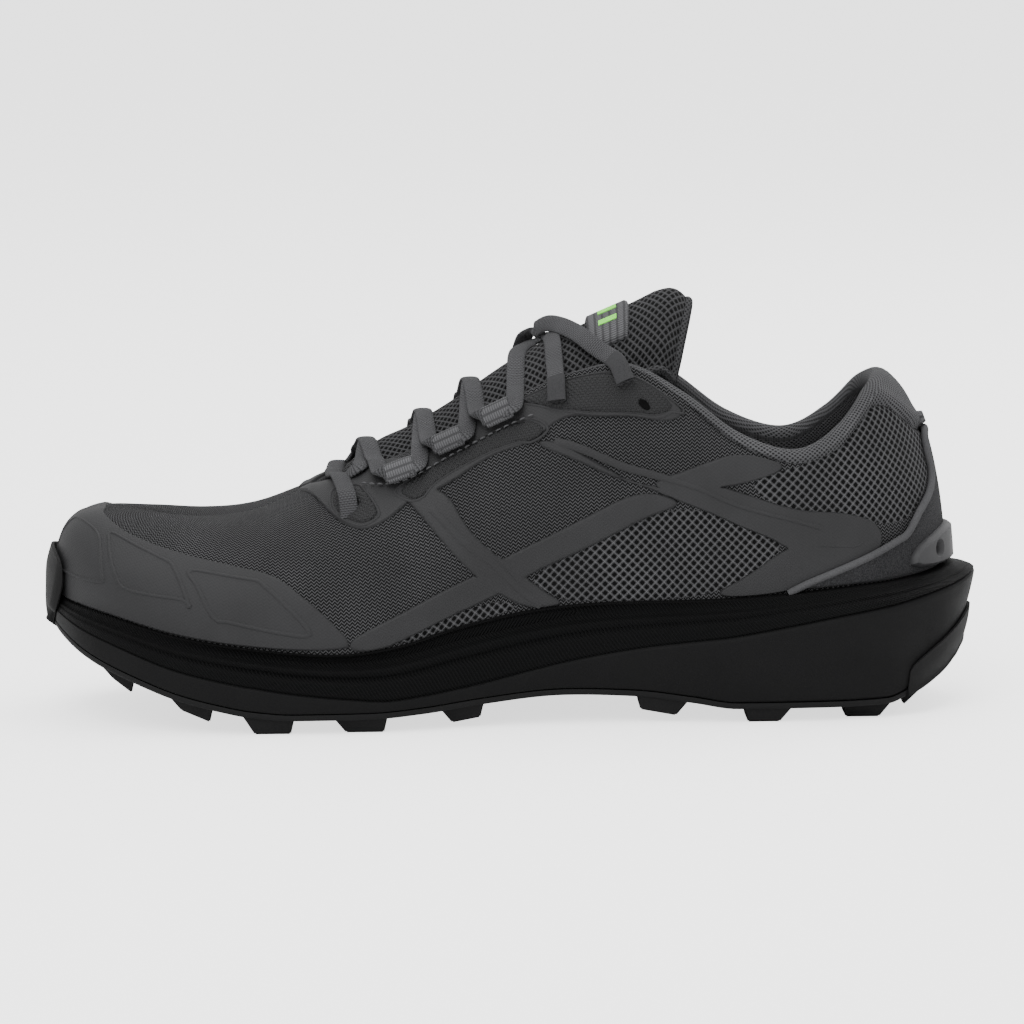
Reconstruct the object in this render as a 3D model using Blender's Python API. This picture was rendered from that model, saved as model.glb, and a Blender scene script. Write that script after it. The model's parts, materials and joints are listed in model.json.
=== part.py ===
"""Trail running shoe, a right shoe: sole, hollow upper, tongue, films, webbing loops and lace.

Metres, +Z up. The toe points to -X, the medial side to -Y, and the lugs stand on z = 0.
"""

import math

import bmesh
import bpy
import numpy as np
from mathutils import Matrix, Vector
from mathutils.bvhtree import BVHTree
from mathutils.geometry import delaunay_2d_cdt

# Driving sizes
LENGTH = 0.300          # toe bumper to heel flare
BALL_WIDTH = 0.108      # sole across the ball
LUG_DEPTH = 0.0044      # lugs under the plate
SIDE_RISE = 0.0412      # lug tops to the bite line at the heel
UPPER_RISE = 0.0650     # bite line to the collar top at the heel
FIT = 0.0003            # gap between pieces that touch

# Walls
WALL = 0.0022           # knit, film and lining of the upper
COLLAR_PAD = 0.0080     # padded collar
TONGUE_PAD = 0.0050     # padded tongue
PLATE = 0.0020          # rubber plate of the outsole
BUMPER = 0.0018         # rubber over the toe
INSOLE = 0.0040         # sock liner
FILM = 0.0008           # fused films on the upper
GUARD = 0.0014          # heel counter wrap

# Fineness of the faceting
SIDE_STEPS = 34         # columns down one side of the shoe
WALL_STEPS = 7          # rows from the bite line to the top edge

# The upper, one row per section from the toe tip to the heel tip.
# along, top_along: share of LENGTH from the toe. medial, lateral, top_medial, top_lateral,
# swell, shoulder: share of BALL_WIDTH. bite: share of SIDE_RISE. rise: share of UPPER_RISE.
# lift, crown: share of the section's own rise. pad: share of COLLAR_PAD.
# depth: how far the footbed lies under the bite line, share of SIDE_RISE.
STATIONS = (
    "along medial lateral bite top_along rise top_medial top_lateral"
    " swell lift shoulder crown pad depth"
).split()
SECTIONS = (
    (0.013, 0.02, -0.02, 0.850, 0.127, 0.37, 0.00, 0.00, 0.015, 0.93, 0.270, 0.28, 0.0, 0.17),
    (0.030, 0.19, 0.145, 0.835, 0.133, 0.38, 0.00, 0.00, 0.018, 0.93, 0.280, 0.27, 0.0, 0.18),
    (0.072, 0.33, 0.285, 0.780, 0.153, 0.40, 0.00, 0.00, 0.023, 0.85, 0.260, 0.23, 0.0, 0.20),
    (0.143, 0.41, 0.385, 0.645, 0.190, 0.49, 0.00, 0.00, 0.028, 0.75, 0.250, 0.14, 0.0, 0.20),
    (0.223, 0.437, 0.445, 0.550, 0.235, 0.59, 0.00, 0.00, 0.028, 0.65, 0.240, 0.09, 0.0, 0.17),
    (0.307, 0.437, 0.470, 0.500, 0.287, 0.73, 0.00, 0.00, 0.023, 0.60, 0.230, 0.06, 0.0, 0.14),
    (0.373, 0.420, 0.463, 0.550, 0.353, 0.82, 0.12, 0.12, 0.023, 0.55, 0.160, -0.04, 0.0, 0.18),
    (0.440, 0.385, 0.435, 0.685, 0.427, 0.89, 0.155, 0.155, 0.018, 0.50, 0.130, -0.08, 0.0, 0.24),
    (0.507, 0.348, 0.400, 0.780, 0.500, 1.01, 0.185, 0.185, 0.014, 0.45, 0.110, -0.12, 0.0, 0.27),
    (0.573, 0.332, 0.372, 0.830, 0.567, 1.11, 0.215, 0.215, 0.009, 0.42, 0.090, -0.16, 0.0, 0.26),
    (0.633, 0.328, 0.355, 0.842, 0.623, 1.13, 0.250, 0.250, 0.005, 0.40, 0.065, -0.22, 0.3, 0.25),
    (0.690, 0.328, 0.347, 0.848, 0.683, 0.96, 0.280, 0.280, 0.000, 0.40, 0.046, -0.25, 0.9, 0.24),
    (0.747, 0.328, 0.342, 0.865, 0.740, 0.75, 0.300, 0.300, 0.000, 0.40, 0.032, -0.27, 1.0, 0.24),
    (0.803, 0.320, 0.333, 0.895, 0.800, 0.645, 0.298, 0.298, 0.000, 0.40, 0.028, -0.28, 1.0, 0.25),
    (0.857, 0.300, 0.308, 0.930, 0.847, 0.73, 0.265, 0.265, -0.005, 0.40, 0.037, -0.28, 1.0, 0.26),
    (0.903, 0.245, 0.250, 0.950, 0.880, 0.885, 0.195, 0.195, -0.009, 0.40, 0.065, -0.21, 1.0, 0.27),
    (0.943, 0.145, 0.145, 0.980, 0.900, 0.945, 0.105, 0.105, -0.012, 0.40, 0.093, -0.16, 1.0, 0.28),
    (0.9645, 0.00, 0.00, 1.000, 0.907, 0.945, 0.00, 0.00, -0.012, 0.40, 0.102, -0.15, 1.0, 0.28),
)
LAST = len(SECTIONS) - 1

# The midsole's side at the same sections. flare: how far it stands out past the upper, share of
# BALL_WIDTH. groove: how far down the side the long groove runs. ledge: depth of the recess under
# the bite line, share of LEDGE. tuck: share of the flare that is lost again at the bottom.
SOLE_COLUMNS = "flare groove ledge tuck".split()
SOLE_SECTIONS = (
    (0.016, 0.45, 0.0, 0.20), (0.030, 0.47, 0.0, 0.20), (0.044, 0.52, 0.1, 0.18), (0.046, 0.59, 0.4, 0.16),
    (0.046, 0.62, 0.9, 0.16), (0.046, 0.74, 1.0, 0.16), (0.044, 0.84, 1.0, 0.18), (0.040, 0.83, 1.0, 0.20),
    (0.038, 0.76, 1.0, 0.22), (0.040, 0.64, 0.8, 0.25), (0.045, 0.52, 0.6, 0.28), (0.055, 0.42, 0.4, 0.30),
    (0.064, 0.34, 0.2, 0.32), (0.072, 0.27, 0.0, 0.34), (0.080, 0.21, 0.0, 0.38), (0.088, 0.16, 0.0, 0.42),
    (0.094, 0.13, 0.0, 0.46), (0.098, 0.125, 0.0, 0.48),
)
LEDGE = 0.0022          # deepest recess under the bite line
THROAT = 5.0            # section where the throat opens
THROAT_ROUND = 0.9      # sections over which the throat rounds out to its width
PAD_START = 0.55        # share of the wall's height where the collar pad begins
PAD_FULL = 0.90
UNDERCUT = 0.018        # share of BALL_WIDTH that the lasted edge turns under
RIM_STEPS = 3           # points that round the top edge

# Underside of the rubber plate: share of LENGTH, share of SIDE_RISE above the lugs' depth
SPRING = (
    (0.000, 0.640), (0.043, 0.450), (0.107, 0.250), (0.143, 0.155), (0.183, 0.080),
    (0.220, 0.027), (0.265, 0.000), (0.345, 0.000), (0.400, 0.025), (0.467, 0.080),
    (0.553, 0.125), (0.627, 0.105), (0.687, 0.050), (0.735, 0.000), (0.895, 0.000),
    (0.925, 0.070), (0.957, 0.190), (0.975, 0.290), (1.000, 0.500),
)

# Rings down the midsole's side: share of the flare, place (0 bite line, 1 groove, 2 bottom edge),
# and share of the ledge that pulls the ring in.
SIDE_RINGS = (
    (0.30, 0.03, 0.2), (0.42, 0.13, 1.0), (0.52, 0.27, 0.9), (0.76, 0.37, 0.0), (0.86, 0.62, 0.2),
    (0.97, 0.92, 0.0), (0.88, 1.00, 0.0), (1.00, 1.07, 0.0), (1.00, 1.22, 0.0), (1.00, 1.60, 0.0),
    (1.00, 2.00, 0.0),
)

# Lugs: share of LENGTH where each row starts and ends
LUG_ROWS = (
    (0.060, 0.098), (0.133, 0.181), (0.210, 0.266), (0.306, 0.364), (0.418, 0.466),
    (0.628, 0.684), (0.742, 0.794), (0.848, 0.902), (0.914, 0.950),
)
STANDING = (2, 3, 6, 7)     # lug rows that stand on the floor
LUG_DRAFT = 0.0012          # slope of a lug's sides
LUG_RAKE = 0.0042           # longer slope of its face towards the nearer end of the shoe
LUG_SUNK = 0.0006           # lug root inside the plate

# Rubber that climbs the toe and the heel: rows from its top down, on the upper or the midsole
BUMPER_REACH = 0.90         # sections on each side of the toe tip
BUMPER_ROWS = (("shell", 0.27), ("shell", 0.14), ("side", 0.04), ("side", 0.50), ("side", 1.2), ("side", 2.0))
HEEL_WRAP = 0.0014
HEEL_REACH = 1.9            # sections on each side of the heel tip
HEEL_ROWS = (("side", 1.62), ("side", 1.80), ("side", 2.0))
WRAP_STEPS = 8
WRAP_SINK = 0.0003          # how far a wrap's foot stands below the plate

TONGUE_START = 5.2          # section where the tongue starts under the throat's base
TONGUE_END = 8.9            # section where it leaves the upper
TONGUE_SINK = 0.0015        # how far its root lies lower
# Free end of the tongue: share of TONGUE_FREE along it, and share of the width that it keeps
TONGUE_FREE = 0.0385
TONGUE_RISE = 0.43          # rise over run of the free end
TONGUE_ROWS = ((0.00, 1.00), (0.15, 0.93), (0.50, 0.86), (0.84, 0.80), (1.00, 0.64))
TONGUE_BOW = 0.0065         # how far the top edge bows down at its end
TONGUE_ARCH = 0.0080        # crest of the tongue over the throat edges
TONGUE_PEAK = 0.0125        # the same where the tongue leaves the upper
KEEPER = 0.0012             # woven lace keeper sewn on the tongue
KEEPER_ROWS = (1, 2)        # rows of TONGUE_ROWS where it starts and ends

# Films, one row per panel: name, then its corners as (section, share of the wall's height)
TOE_FILM = (
    (5.24, 0.015), (5.24, 0.060), (4.82, 0.180), (4.55, 0.260), (4.30, 0.335), (4.05, 0.372), (3.45, 0.415),
    (2.95, 0.441), (2.50, 0.478), (1.93, 0.532), (1.07, 0.662), (0.00, 0.760),
)
FILM_PANELS = (
    ("throat", ((4.78, 0.970), (4.86, 0.84), (5.02, 0.72), (5.22, 0.60), (5.56, 0.50), (6.00, 0.52),
                (6.40, 0.60), (6.40, 0.955), (5.70, 0.955), (5.25, 0.965))),
    ("eyestay", ((6.30, 0.60), (6.85, 0.60), (7.51, 0.675), (8.25, 0.66), (8.72, 0.75), (9.40, 0.705),
                 (10.42, 0.755), (10.86, 0.857), (10.95, 0.955), (8.60, 0.955), (6.30, 0.955))),
    ("instep_band", ((6.31, 0.66), (6.85, 0.60), (7.16, 0.356), (7.68, 0.209), (8.70, 0.015), (8.04, 0.015),
                     (7.23, 0.173), (6.77, 0.340))),
    ("low_band", ((5.38, 0.015), (5.38, 0.070), (6.27, 0.131), (7.23, 0.173), (7.68, 0.209), (8.89, 0.286),
                  (10.23, 0.433), (10.99, 0.424), (9.41, 0.216), (8.05, 0.124), (7.56, 0.070), (5.96, 0.015))),
    ("heel_band", ((8.25, 0.66), (8.50, 0.67), (9.27, 0.53), (10.10, 0.45), (11.90, 0.66), (13.41, 0.565),
                   (14.98, 0.205), (14.00, 0.150), (12.72, 0.298), (12.43, 0.370), (11.69, 0.421),
                   (10.99, 0.424), (10.23, 0.433), (9.45, 0.458), (8.53, 0.583))),
    ("heel_foot", ((12.72, 0.298), (12.02, 0.112), (11.30, 0.015), (12.50, 0.015), (13.15, 0.075),
                   (13.95, 0.145), (14.98, 0.205), (13.30, 0.400))),
    ("collar_band", ((10.10, 0.45), (11.16, 0.634), (12.12, 0.955), (12.90, 0.955), (11.90, 0.655),
                     (11.00, 0.500))),
)
COUNTER = (
    (12.75, 0.015), (13.18, 0.050), (13.98, 0.110), (15.06, 0.165), (15.45, 0.190), (15.82, 0.265),
    (16.27, 0.330), (16.52, 0.410), (16.50, 0.500), (16.62, 0.580), (17.00, 0.600),
)
GAITER_TAB = ((15.45, 0.040), (15.50, 0.125), (16.50, 0.165), (17.00, 0.170))
GAITER_HOLE = (16.15, 0.090, 0.10, 0.022)    # place, height, and half sizes of the hole
GAITER = 0.0022
HEEL_TAB = ((16.80, 0.620), (16.80, 0.690), (17.00, 0.690))
PANEL_STEP = 0.0095         # size of a film's facets
CELL = (0.0172, 0.0680)     # length of one section and height of the wall, for the facets' shape

# Lace loops on each side: section, share of the wall's height
LOOPS = ((6.34, 0.755), (7.07, 0.832), (7.80, 0.872))
LOOP_LONG = 0.0090          # width of the webbing
LOOP_WIDE = 0.0078
LOOP_TALL = 0.0050
LOOP_WEB = 0.0009           # thickness of the webbing
LOOP_SIDES = 8
EYELET = (5.51, 0.690)      # bottom eyelet
LACE_START = (0.42, 0.22)   # where the first crossing starts, from the bottom eyelet

# Lace, a flat oval braid
LACE_WIDE = 0.0050
LACE_THICK = 0.0024
LACE_CLEAR = 0.0008         # over what it crosses
LACE_STEPS = 9
LACE_SIDES = 6
# Where the strands of the last crossing end, from the tongue's crest: x and y
LAST_CROSS = ((0.0080, 0.0080), (0.0125, 0.0048))
LACE_ROUND = 0.0016         # radius of the free ends' plain tubes
LACE_POINTS = 10            # points along a free end

# Routes of the two free ends, in the finished shoe's own frame
LACE_ENDS = {
    "lace_end_a": (
        (0.0128, 0.0014, 0.1199), (0.0130, -0.0020, 0.1203), (0.0132, -0.0055, 0.1197), (0.0134, -0.0095, 0.1184),
        (0.0135, -0.0135, 0.1165), (0.0136, -0.0178, 0.1137), (0.0137, -0.0222, 0.1114), (0.0137, -0.0262, 0.1098),
        (0.0137, -0.0294, 0.1073), (0.0137, -0.0322, 0.1027),
    ),
    "lace_end_b": (
        (0.0085, 0.0050, 0.1212), (0.0120, 0.0005, 0.1236), (0.0160, -0.0048, 0.1236), (0.0200, -0.0100, 0.1223),
        (0.0227, -0.0150, 0.1210), (0.0256, -0.0193, 0.1190), (0.0290, -0.0225, 0.1168), (0.0313, -0.0262, 0.1157),
        (0.0334, -0.0307, 0.1139), (0.0354, -0.0345, 0.1089),
    ),
}

COLOURS = {
    "knit": (0.060, 0.060, 0.063, 0.85),
    "film": (0.055, 0.055, 0.057, 0.50),
    "suede": (0.050, 0.050, 0.052, 0.95),
    "foam": (0.006, 0.006, 0.007, 0.70),
    "rubber": (0.012, 0.012, 0.012, 0.65),
    "tongue_mesh": (0.045, 0.045, 0.047, 0.90),
    "liner": (0.040, 0.040, 0.042, 0.90),
    "webbing": (0.120, 0.120, 0.123, 0.85),
    "lace": (0.085, 0.085, 0.088, 0.85),
    "green": (0.200, 0.680, 0.090, 0.60),
}


def curve_through(xs, ys):
    """A smooth curve through the points that never swings past them."""
    xs, ys = np.array(xs, float), np.array(ys, float)
    steps = np.diff(xs)
    rates = np.diff(ys) / steps
    slopes = np.zeros(len(xs))
    slopes[0], slopes[-1] = rates[0], rates[-1]
    for i in range(1, len(rates)):
        if rates[i - 1] * rates[i] > 0:
            slopes[i] = 2 * rates[i - 1] * rates[i] / (rates[i - 1] + rates[i])

    def value(x):
        x = min(max(x, xs[0]), xs[-1])
        i = min(int(np.searchsorted(xs, x, side="right")) - 1, len(steps) - 1)
        t = (x - xs[i]) / steps[i]
        start = (1 + 2 * t) * (1 - t) ** 2 * ys[i] + t * (1 - t) ** 2 * steps[i] * slopes[i]
        end = t * t * (3 - 2 * t) * ys[i + 1] + t * t * (t - 1) * steps[i] * slopes[i + 1]
        return start + end

    return value


def ease(x):
    """0 below 0, 1 above 1, and smooth between."""
    x = min(max(x, 0.0), 1.0)
    return x * x * (3 - 2 * x)


def column(name):
    """The values of one column of SECTIONS."""
    return [row[STATIONS.index(name)] for row in SECTIONS]


def along(share):
    """X of a share of the length from the toe."""
    return (share - 0.5) * LENGTH


BY_STATION = {name: curve_through(range(LAST + 1), column(name)) for name in STATIONS}
for place, name in enumerate(SOLE_COLUMNS):
    BY_STATION[name] = curve_through(range(LAST + 1), [row[place] for row in SOLE_SECTIONS])
UNDER = curve_through([row[0] for row in SPRING], [row[1] for row in SPRING])


def under(x):
    """Height of the plate's underside at x."""
    return LUG_DEPTH + SIDE_RISE * UNDER(x / LENGTH + 0.5)


def ring_station(k):
    """Station and side of a place k round the shoe: 0 toe, LAST heel, then back to the toe."""
    k = k % (2 * LAST)
    return (k, -1) if k <= LAST else (2 * LAST - k, 1)


def section_controls(k):
    """The four control points of whole section k of the ring."""
    i, side = ring_station(k)
    row = dict(zip(STATIONS, SECTIONS[int(i)]))
    half, top_half = (row["medial"], row["top_medial"]) if side < 0 else (row["lateral"], row["top_lateral"])
    bite = LUG_DEPTH + SIDE_RISE * row["bite"]
    rise = UPPER_RISE * row["rise"]
    base = np.array([along(row["along"]), side * half * BALL_WIDTH, bite])
    top = np.array([along(row["top_along"]), side * top_half * BALL_WIDTH, bite + rise])
    return base, top, row, rise


RING = [section_controls(k) for k in range(2 * LAST)]


def weave(points, k):
    """Smooth value at place k round the ring of values."""
    i = math.floor(k)
    t = k - i
    a, b, c, d = (points[(i + j) % len(points)] for j in (-1, 0, 1, 2))
    return 0.5 * (2 * b + (c - a) * t + (2 * a - 5 * b + 4 * c - d) * t * t + (3 * b - a - 3 * c + d) * t ** 3)


BASES = [entry[0] for entry in RING]
TOPS = [entry[1] for entry in RING]


def outward(k):
    """Level direction that points out of the shoe at place k."""
    step = 0.05
    run = weave(BASES, k + step) - weave(BASES, k - step)
    out = np.array([run[1], -run[0], 0.0])
    return out / np.linalg.norm(out)


def inner_controls():
    """The two middle control points of every whole section."""
    lows, highs = [], []
    for k, (base, top, row, rise) in enumerate(RING):
        out = outward(k)
        lows.append(base + out * row["swell"] * BALL_WIDTH + np.array([0, 0, row["lift"] * rise]))
        highs.append(top + out * row["shoulder"] * BALL_WIDTH + np.array([0, 0, row["crown"] * rise]))
    return lows, highs


LOWS, HIGHS = inner_controls()


def opening(station):
    """Share of its full width that the throat has at a station."""
    q = min(max((station - THROAT) / THROAT_ROUND, 0.0), 1.0)
    return math.sqrt(max(0.0, 1 - (1 - q) ** 2))


THROAT_HALF = curve_through((0, THROAT, 6, 7, 8, 9, 10, 11), (0.10, 0.105, 0.122, 0.155, 0.185, 0.215, 0.25, 0.28))


def top_point(k):
    """Point on the upper's top edge, or on its crest in front of the throat."""
    station, side = ring_station(k)
    point = weave(TOPS, k)
    if station <= THROAT:
        point[1] = 0.0
    elif station < 7:
        point[1] = side * THROAT_HALF(station) * BALL_WIDTH * opening(station)
    return point


def shell(k, v):
    """Point on the upper's outer surface, v from 0 at the bite line to 1 at the top."""
    a, b, c, d = weave(BASES, k), weave(LOWS, k), weave(HIGHS, k), top_point(k)
    return a * (1 - v) ** 3 + 3 * b * v * (1 - v) ** 2 + 3 * c * v * v * (1 - v) + d * v ** 3


def shell_normal(k, v):
    """Outward normal of the upper's outer surface."""
    step = 0.02
    low, high = max(v - step, 0.0), min(v + step, 1.0)
    up = shell(k, high) - shell(k, low)
    turn = shell(k + step, v) - shell(k - step, v)
    station, _ = ring_station(k)
    if station <= THROAT and v > 1 - 1e-6:
        run = top_point(k + step * 2) - top_point(k - step * 2) if k > 0 else np.array([1.0, 0, 0])
        normal = np.array([-run[2], 0.0, run[0]])
        normal *= 1 if normal[2] > 0 else -1
    else:
        normal = np.cross(turn, up)
    return normal / np.linalg.norm(normal)


def wall(k, v):
    """Thickness of the upper's wall."""
    station, _ = ring_station(k)
    return WALL + (COLLAR_PAD - WALL) * BY_STATION["pad"](station) * ease((v - PAD_START) / (PAD_FULL - PAD_START))


def skin_point(k, v, lift=0.0):
    """Point at a height over the outer surface, or under it where lift is below 0."""
    return shell(k, v) + shell_normal(k, v) * lift


def footbed(k):
    """Height of the midsole's footbed at place k round the shoe."""
    station, _ = ring_station(k)
    return LUG_DEPTH + SIDE_RISE * (BY_STATION["bite"](station) - BY_STATION["depth"](station))


def flare(k):
    """How far the midsole stands out past the upper at place k."""
    station, _ = ring_station(k)
    return BY_STATION["flare"](station) * BALL_WIDTH


def columns():
    """Places round the shoe, closer together at the toe and heel, with one at the throat's end."""
    side = [LAST * i / SIDE_STEPS for i in range(SIDE_STEPS + 1)]
    nearest = min(range(len(side)), key=lambda i: abs(side[i] - THROAT))
    side[nearest] = THROAT
    return side + [2 * LAST - k for k in reversed(side[1:-1])]


PLACES = columns()


def material(name):
    """The material of a slot, made once."""
    if name in bpy.data.materials:
        return bpy.data.materials[name]
    red, green, blue, rough = COLOURS[name]
    made = bpy.data.materials.new(name)
    made.use_nodes = True
    shader = made.node_tree.nodes["Principled BSDF"]
    shader.inputs["Base Color"].default_value = (red, green, blue, 1)
    shader.inputs["Roughness"].default_value = rough
    shader.inputs["Metallic"].default_value = 0.0
    return made


def add_object(name, points, faces, slot, angle=40):
    """A mesh object with its faces turned out and its round parts shaded smooth."""
    mesh = bpy.data.meshes.new(name)
    mesh.from_pydata([tuple(map(float, p)) for p in points], [], faces)
    work = bmesh.new()
    work.from_mesh(mesh)
    bmesh.ops.recalc_face_normals(work, faces=work.faces)
    bmesh.ops.triangulate(work, faces=work.faces)
    if work.calc_volume(signed=True) < 0:
        bmesh.ops.reverse_faces(work, faces=work.faces)
    work.to_mesh(mesh)
    work.free()
    mesh.shade_smooth()
    mesh.set_sharp_from_angle(angle=math.radians(angle))
    mesh.materials.append(material(slot))
    made = bpy.data.objects.new(name, mesh)
    bpy.context.collection.objects.link(made)
    return made


class Skin:
    """Points and faces of one closed mesh, built ring by ring."""

    def __init__(self):
        self.points, self.faces = [], []

    def ring(self, points):
        start = len(self.points)
        self.points.extend(points)
        return list(range(start, len(self.points)))

    def join(self, one, two, closed=True):
        count = len(one)
        for i in range(count if closed else count - 1):
            j = (i + 1) % count
            corners = [one[i], one[j], two[j], two[i]]
            unique = list(dict.fromkeys(corners))
            if len(unique) > 2:
                self.faces.append(unique)

    def fill(self, ring):
        """Cap a ring that runs toe, medial, heel, lateral with strips across the shoe."""
        half = len(ring) // 2
        for i in range(half):
            corners = [ring[i], ring[i + 1], ring[-i - 1], ring[-i % len(ring)]]
            unique = list(dict.fromkeys(corners))
            if len(unique) > 2:
                self.faces.append(unique)


def build_upper():
    """The hollow upper, open underneath, at the throat and at the collar."""
    levels = [i / WALL_STEPS for i in range(WALL_STEPS + 1)]
    skin = Skin()

    def lasted(k, inset):
        base, out, floor = weave(BASES, k), outward(k), footbed(k) + FIT
        low = base - out * (UNDERCUT * BALL_WIDTH + inset)
        low[2] = floor
        return low

    def turn(k, inset):
        base, out, floor = weave(BASES, k), outward(k), footbed(k) + FIT
        point = base - out * (0.25 * UNDERCUT * BALL_WIDTH + inset)
        point[2] = base[2] + (floor - base[2]) * 0.6
        return point

    def layer(inside):
        inset = WALL if inside else 0.0
        rings = [skin.ring([lasted(k, inset) for k in PLACES]), skin.ring([turn(k, inset) for k in PLACES])]
        for v in levels:
            rings.append(skin.ring([skin_point(k, v, -wall(k, v) if inside else 0.0) for k in PLACES]))
        top = rings[-1]
        for i, k in enumerate(PLACES[1:SIDE_STEPS], 1):
            if k <= THROAT:
                top[-i] = top[i]
        for low, high in zip(rings, rings[1:]):
            skin.join(low, high)
        return rings

    outer, inner = layer(False), layer(True)
    skin.join(outer[0], inner[0])
    opens = [i for i, k in enumerate(PLACES) if THROAT <= k <= 2 * LAST - THROAT]
    edge, lining = [outer[-1][i] for i in opens][:-1], [inner[-1][i] for i in opens][:-1]
    last = edge
    for step in range(1, RIM_STEPS + 1):
        angle = math.pi * step / (RIM_STEPS + 1)
        points = []
        for i, j, place in zip(edge, lining, opens):
            out, inn = np.array(skin.points[i]), np.array(skin.points[j])
            middle, half = (out + inn) / 2, (out - inn) / 2
            k = PLACES[place]
            up = shell(k, 1.0) - shell(k, 0.96)
            up -= half * np.dot(up, half) / np.dot(half, half)
            up = up / max(np.linalg.norm(up), 1e-9) * np.linalg.norm(half)
            if place == opens[0]:
                up = np.array([0.4 * np.linalg.norm(half), 0, 0])
            points.append(middle + half * math.cos(angle) + up * math.sin(angle))
        ring = skin.ring(points)
        skin.join(last, ring)
        last = ring
    skin.join(last, lining)
    used = sorted({i for face in skin.faces for i in face})
    new = {old: i for i, old in enumerate(used)}
    faces = [[new[i] for i in face] for face in skin.faces]
    return add_object("upper", [skin.points[i] for i in used], faces, "knit", 50)


def side_point(k, share, place, ledge=0.0):
    """Point on the midsole's side: share of the flare, and place from 0 at the bite line to 2."""
    station, _ = ring_station(k)
    base, out = weave(BASES, k), outward(k)
    below = max(place - 1.0, 0.0)
    groove = BY_STATION["groove"](station)
    drop = place * groove if place < 1 else groove + below * (1 - groove)
    share -= BY_STATION["tuck"](station) * below ** 1.5
    point = base + out * (FIT + flare(k) * share - LEDGE * ledge * BY_STATION["ledge"](station))
    bottom = under(point[0]) + PLATE + FIT
    point[2] = base[2] + (bottom - base[2]) * drop
    return point


def build_midsole():
    """The foam cradle with its rim, groove, ridges and footbed."""
    skin = Skin()
    rings = []
    floor_ring = []
    for k in PLACES:
        base, out = weave(BASES, k), outward(k)
        low = base + out * (FIT - UNDERCUT * BALL_WIDTH)
        low[2] = footbed(k)
        floor_ring.append(low)
    rings.append(skin.ring(floor_ring))
    mid = []
    for k in PLACES:
        base, out = weave(BASES, k), outward(k)
        point = base + out * (FIT * 2 - 0.25 * UNDERCUT * BALL_WIDTH)
        point[2] = base[2] + (footbed(k) + FIT - base[2]) * 0.6
        mid.append(point)
    rings.append(skin.ring(mid))
    rings.append(skin.ring([side_point(k, 0.0, 0.0) + outward(k) * FIT for k in PLACES]))
    for share, place, ledge in SIDE_RINGS:
        rings.append(skin.ring([side_point(k, share, place, ledge) for k in PLACES]))
    for one, two in zip(rings, rings[1:]):
        skin.join(one, two)
    skin.fill(rings[0])
    skin.fill(rings[-1])
    return add_object("midsole", skin.points, skin.faces, "foam", 35)


def build_insole():
    """The sock liner, resting on the footbed inside the upper's wall."""
    skin = Skin()
    inset = WALL + UNDERCUT * BALL_WIDTH + 2 * FIT
    lows, highs = [], []
    for k in PLACES:
        low = weave(BASES, k) - outward(k) * inset
        low[2] = footbed(k) + FIT
        lows.append(low)
        highs.append(low + np.array([0, 0, INSOLE]))
    low, high = skin.ring(lows), skin.ring(highs)
    skin.join(low, high)
    skin.fill(low)
    skin.fill(high)
    return add_object("insole", skin.points, skin.faces, "liner", 35)


def plate_point(k, inset, lift):
    """Point on the outsole plate's edge, lift above the plate's underside."""
    station, _ = ring_station(k)
    share = 1.0 - BY_STATION["tuck"](station)
    point = weave(BASES, k) + outward(k) * (FIT + flare(k) * share - inset)
    point[2] = under(point[0]) + lift
    return point


def lug(name, x0, x1, y0, y1, stands):
    """One tapered lug whose root is sunk in the plate."""
    corners = []
    for x, y in ((x0, y0), (x1, y0), (x1, y1), (x0, y1)):
        corners.append((x, y))
    middle = ((x0 + x1) / 2, (y0 + y1) / 2)
    lows, highs = [], []
    for x, y in corners:
        toe_side = x < middle[0]
        slope = LUG_RAKE if toe_side == (middle[0] < 0) else LUG_DRAFT
        sx = slope if toe_side else -slope
        sy = LUG_DRAFT if y < middle[1] else -LUG_DRAFT
        foot = 0.0 if stands else max(under(x) - LUG_DEPTH, 0.0)
        lows.append((x + sx, y + sy, foot))
        highs.append((x, y, under(x) + LUG_SUNK))
    faces = [(0, 1, 2, 3), (4, 5, 6, 7), (0, 1, 5, 4), (1, 2, 6, 5), (2, 3, 7, 6), (3, 0, 4, 7)]
    return add_object(name, lows + highs, faces, "rubber", 30)


def half_width(x, side):
    """Half width of the plate at x on one side."""
    best = None
    for k in PLACES:
        station, at = ring_station(k)
        if at == side or station in (0, LAST):
            point = plate_point(k, 0.0, 0.0)
            if best is None or abs(point[0] - x) < abs(best[0] - x):
                best = point
    return abs(best[1])


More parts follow.
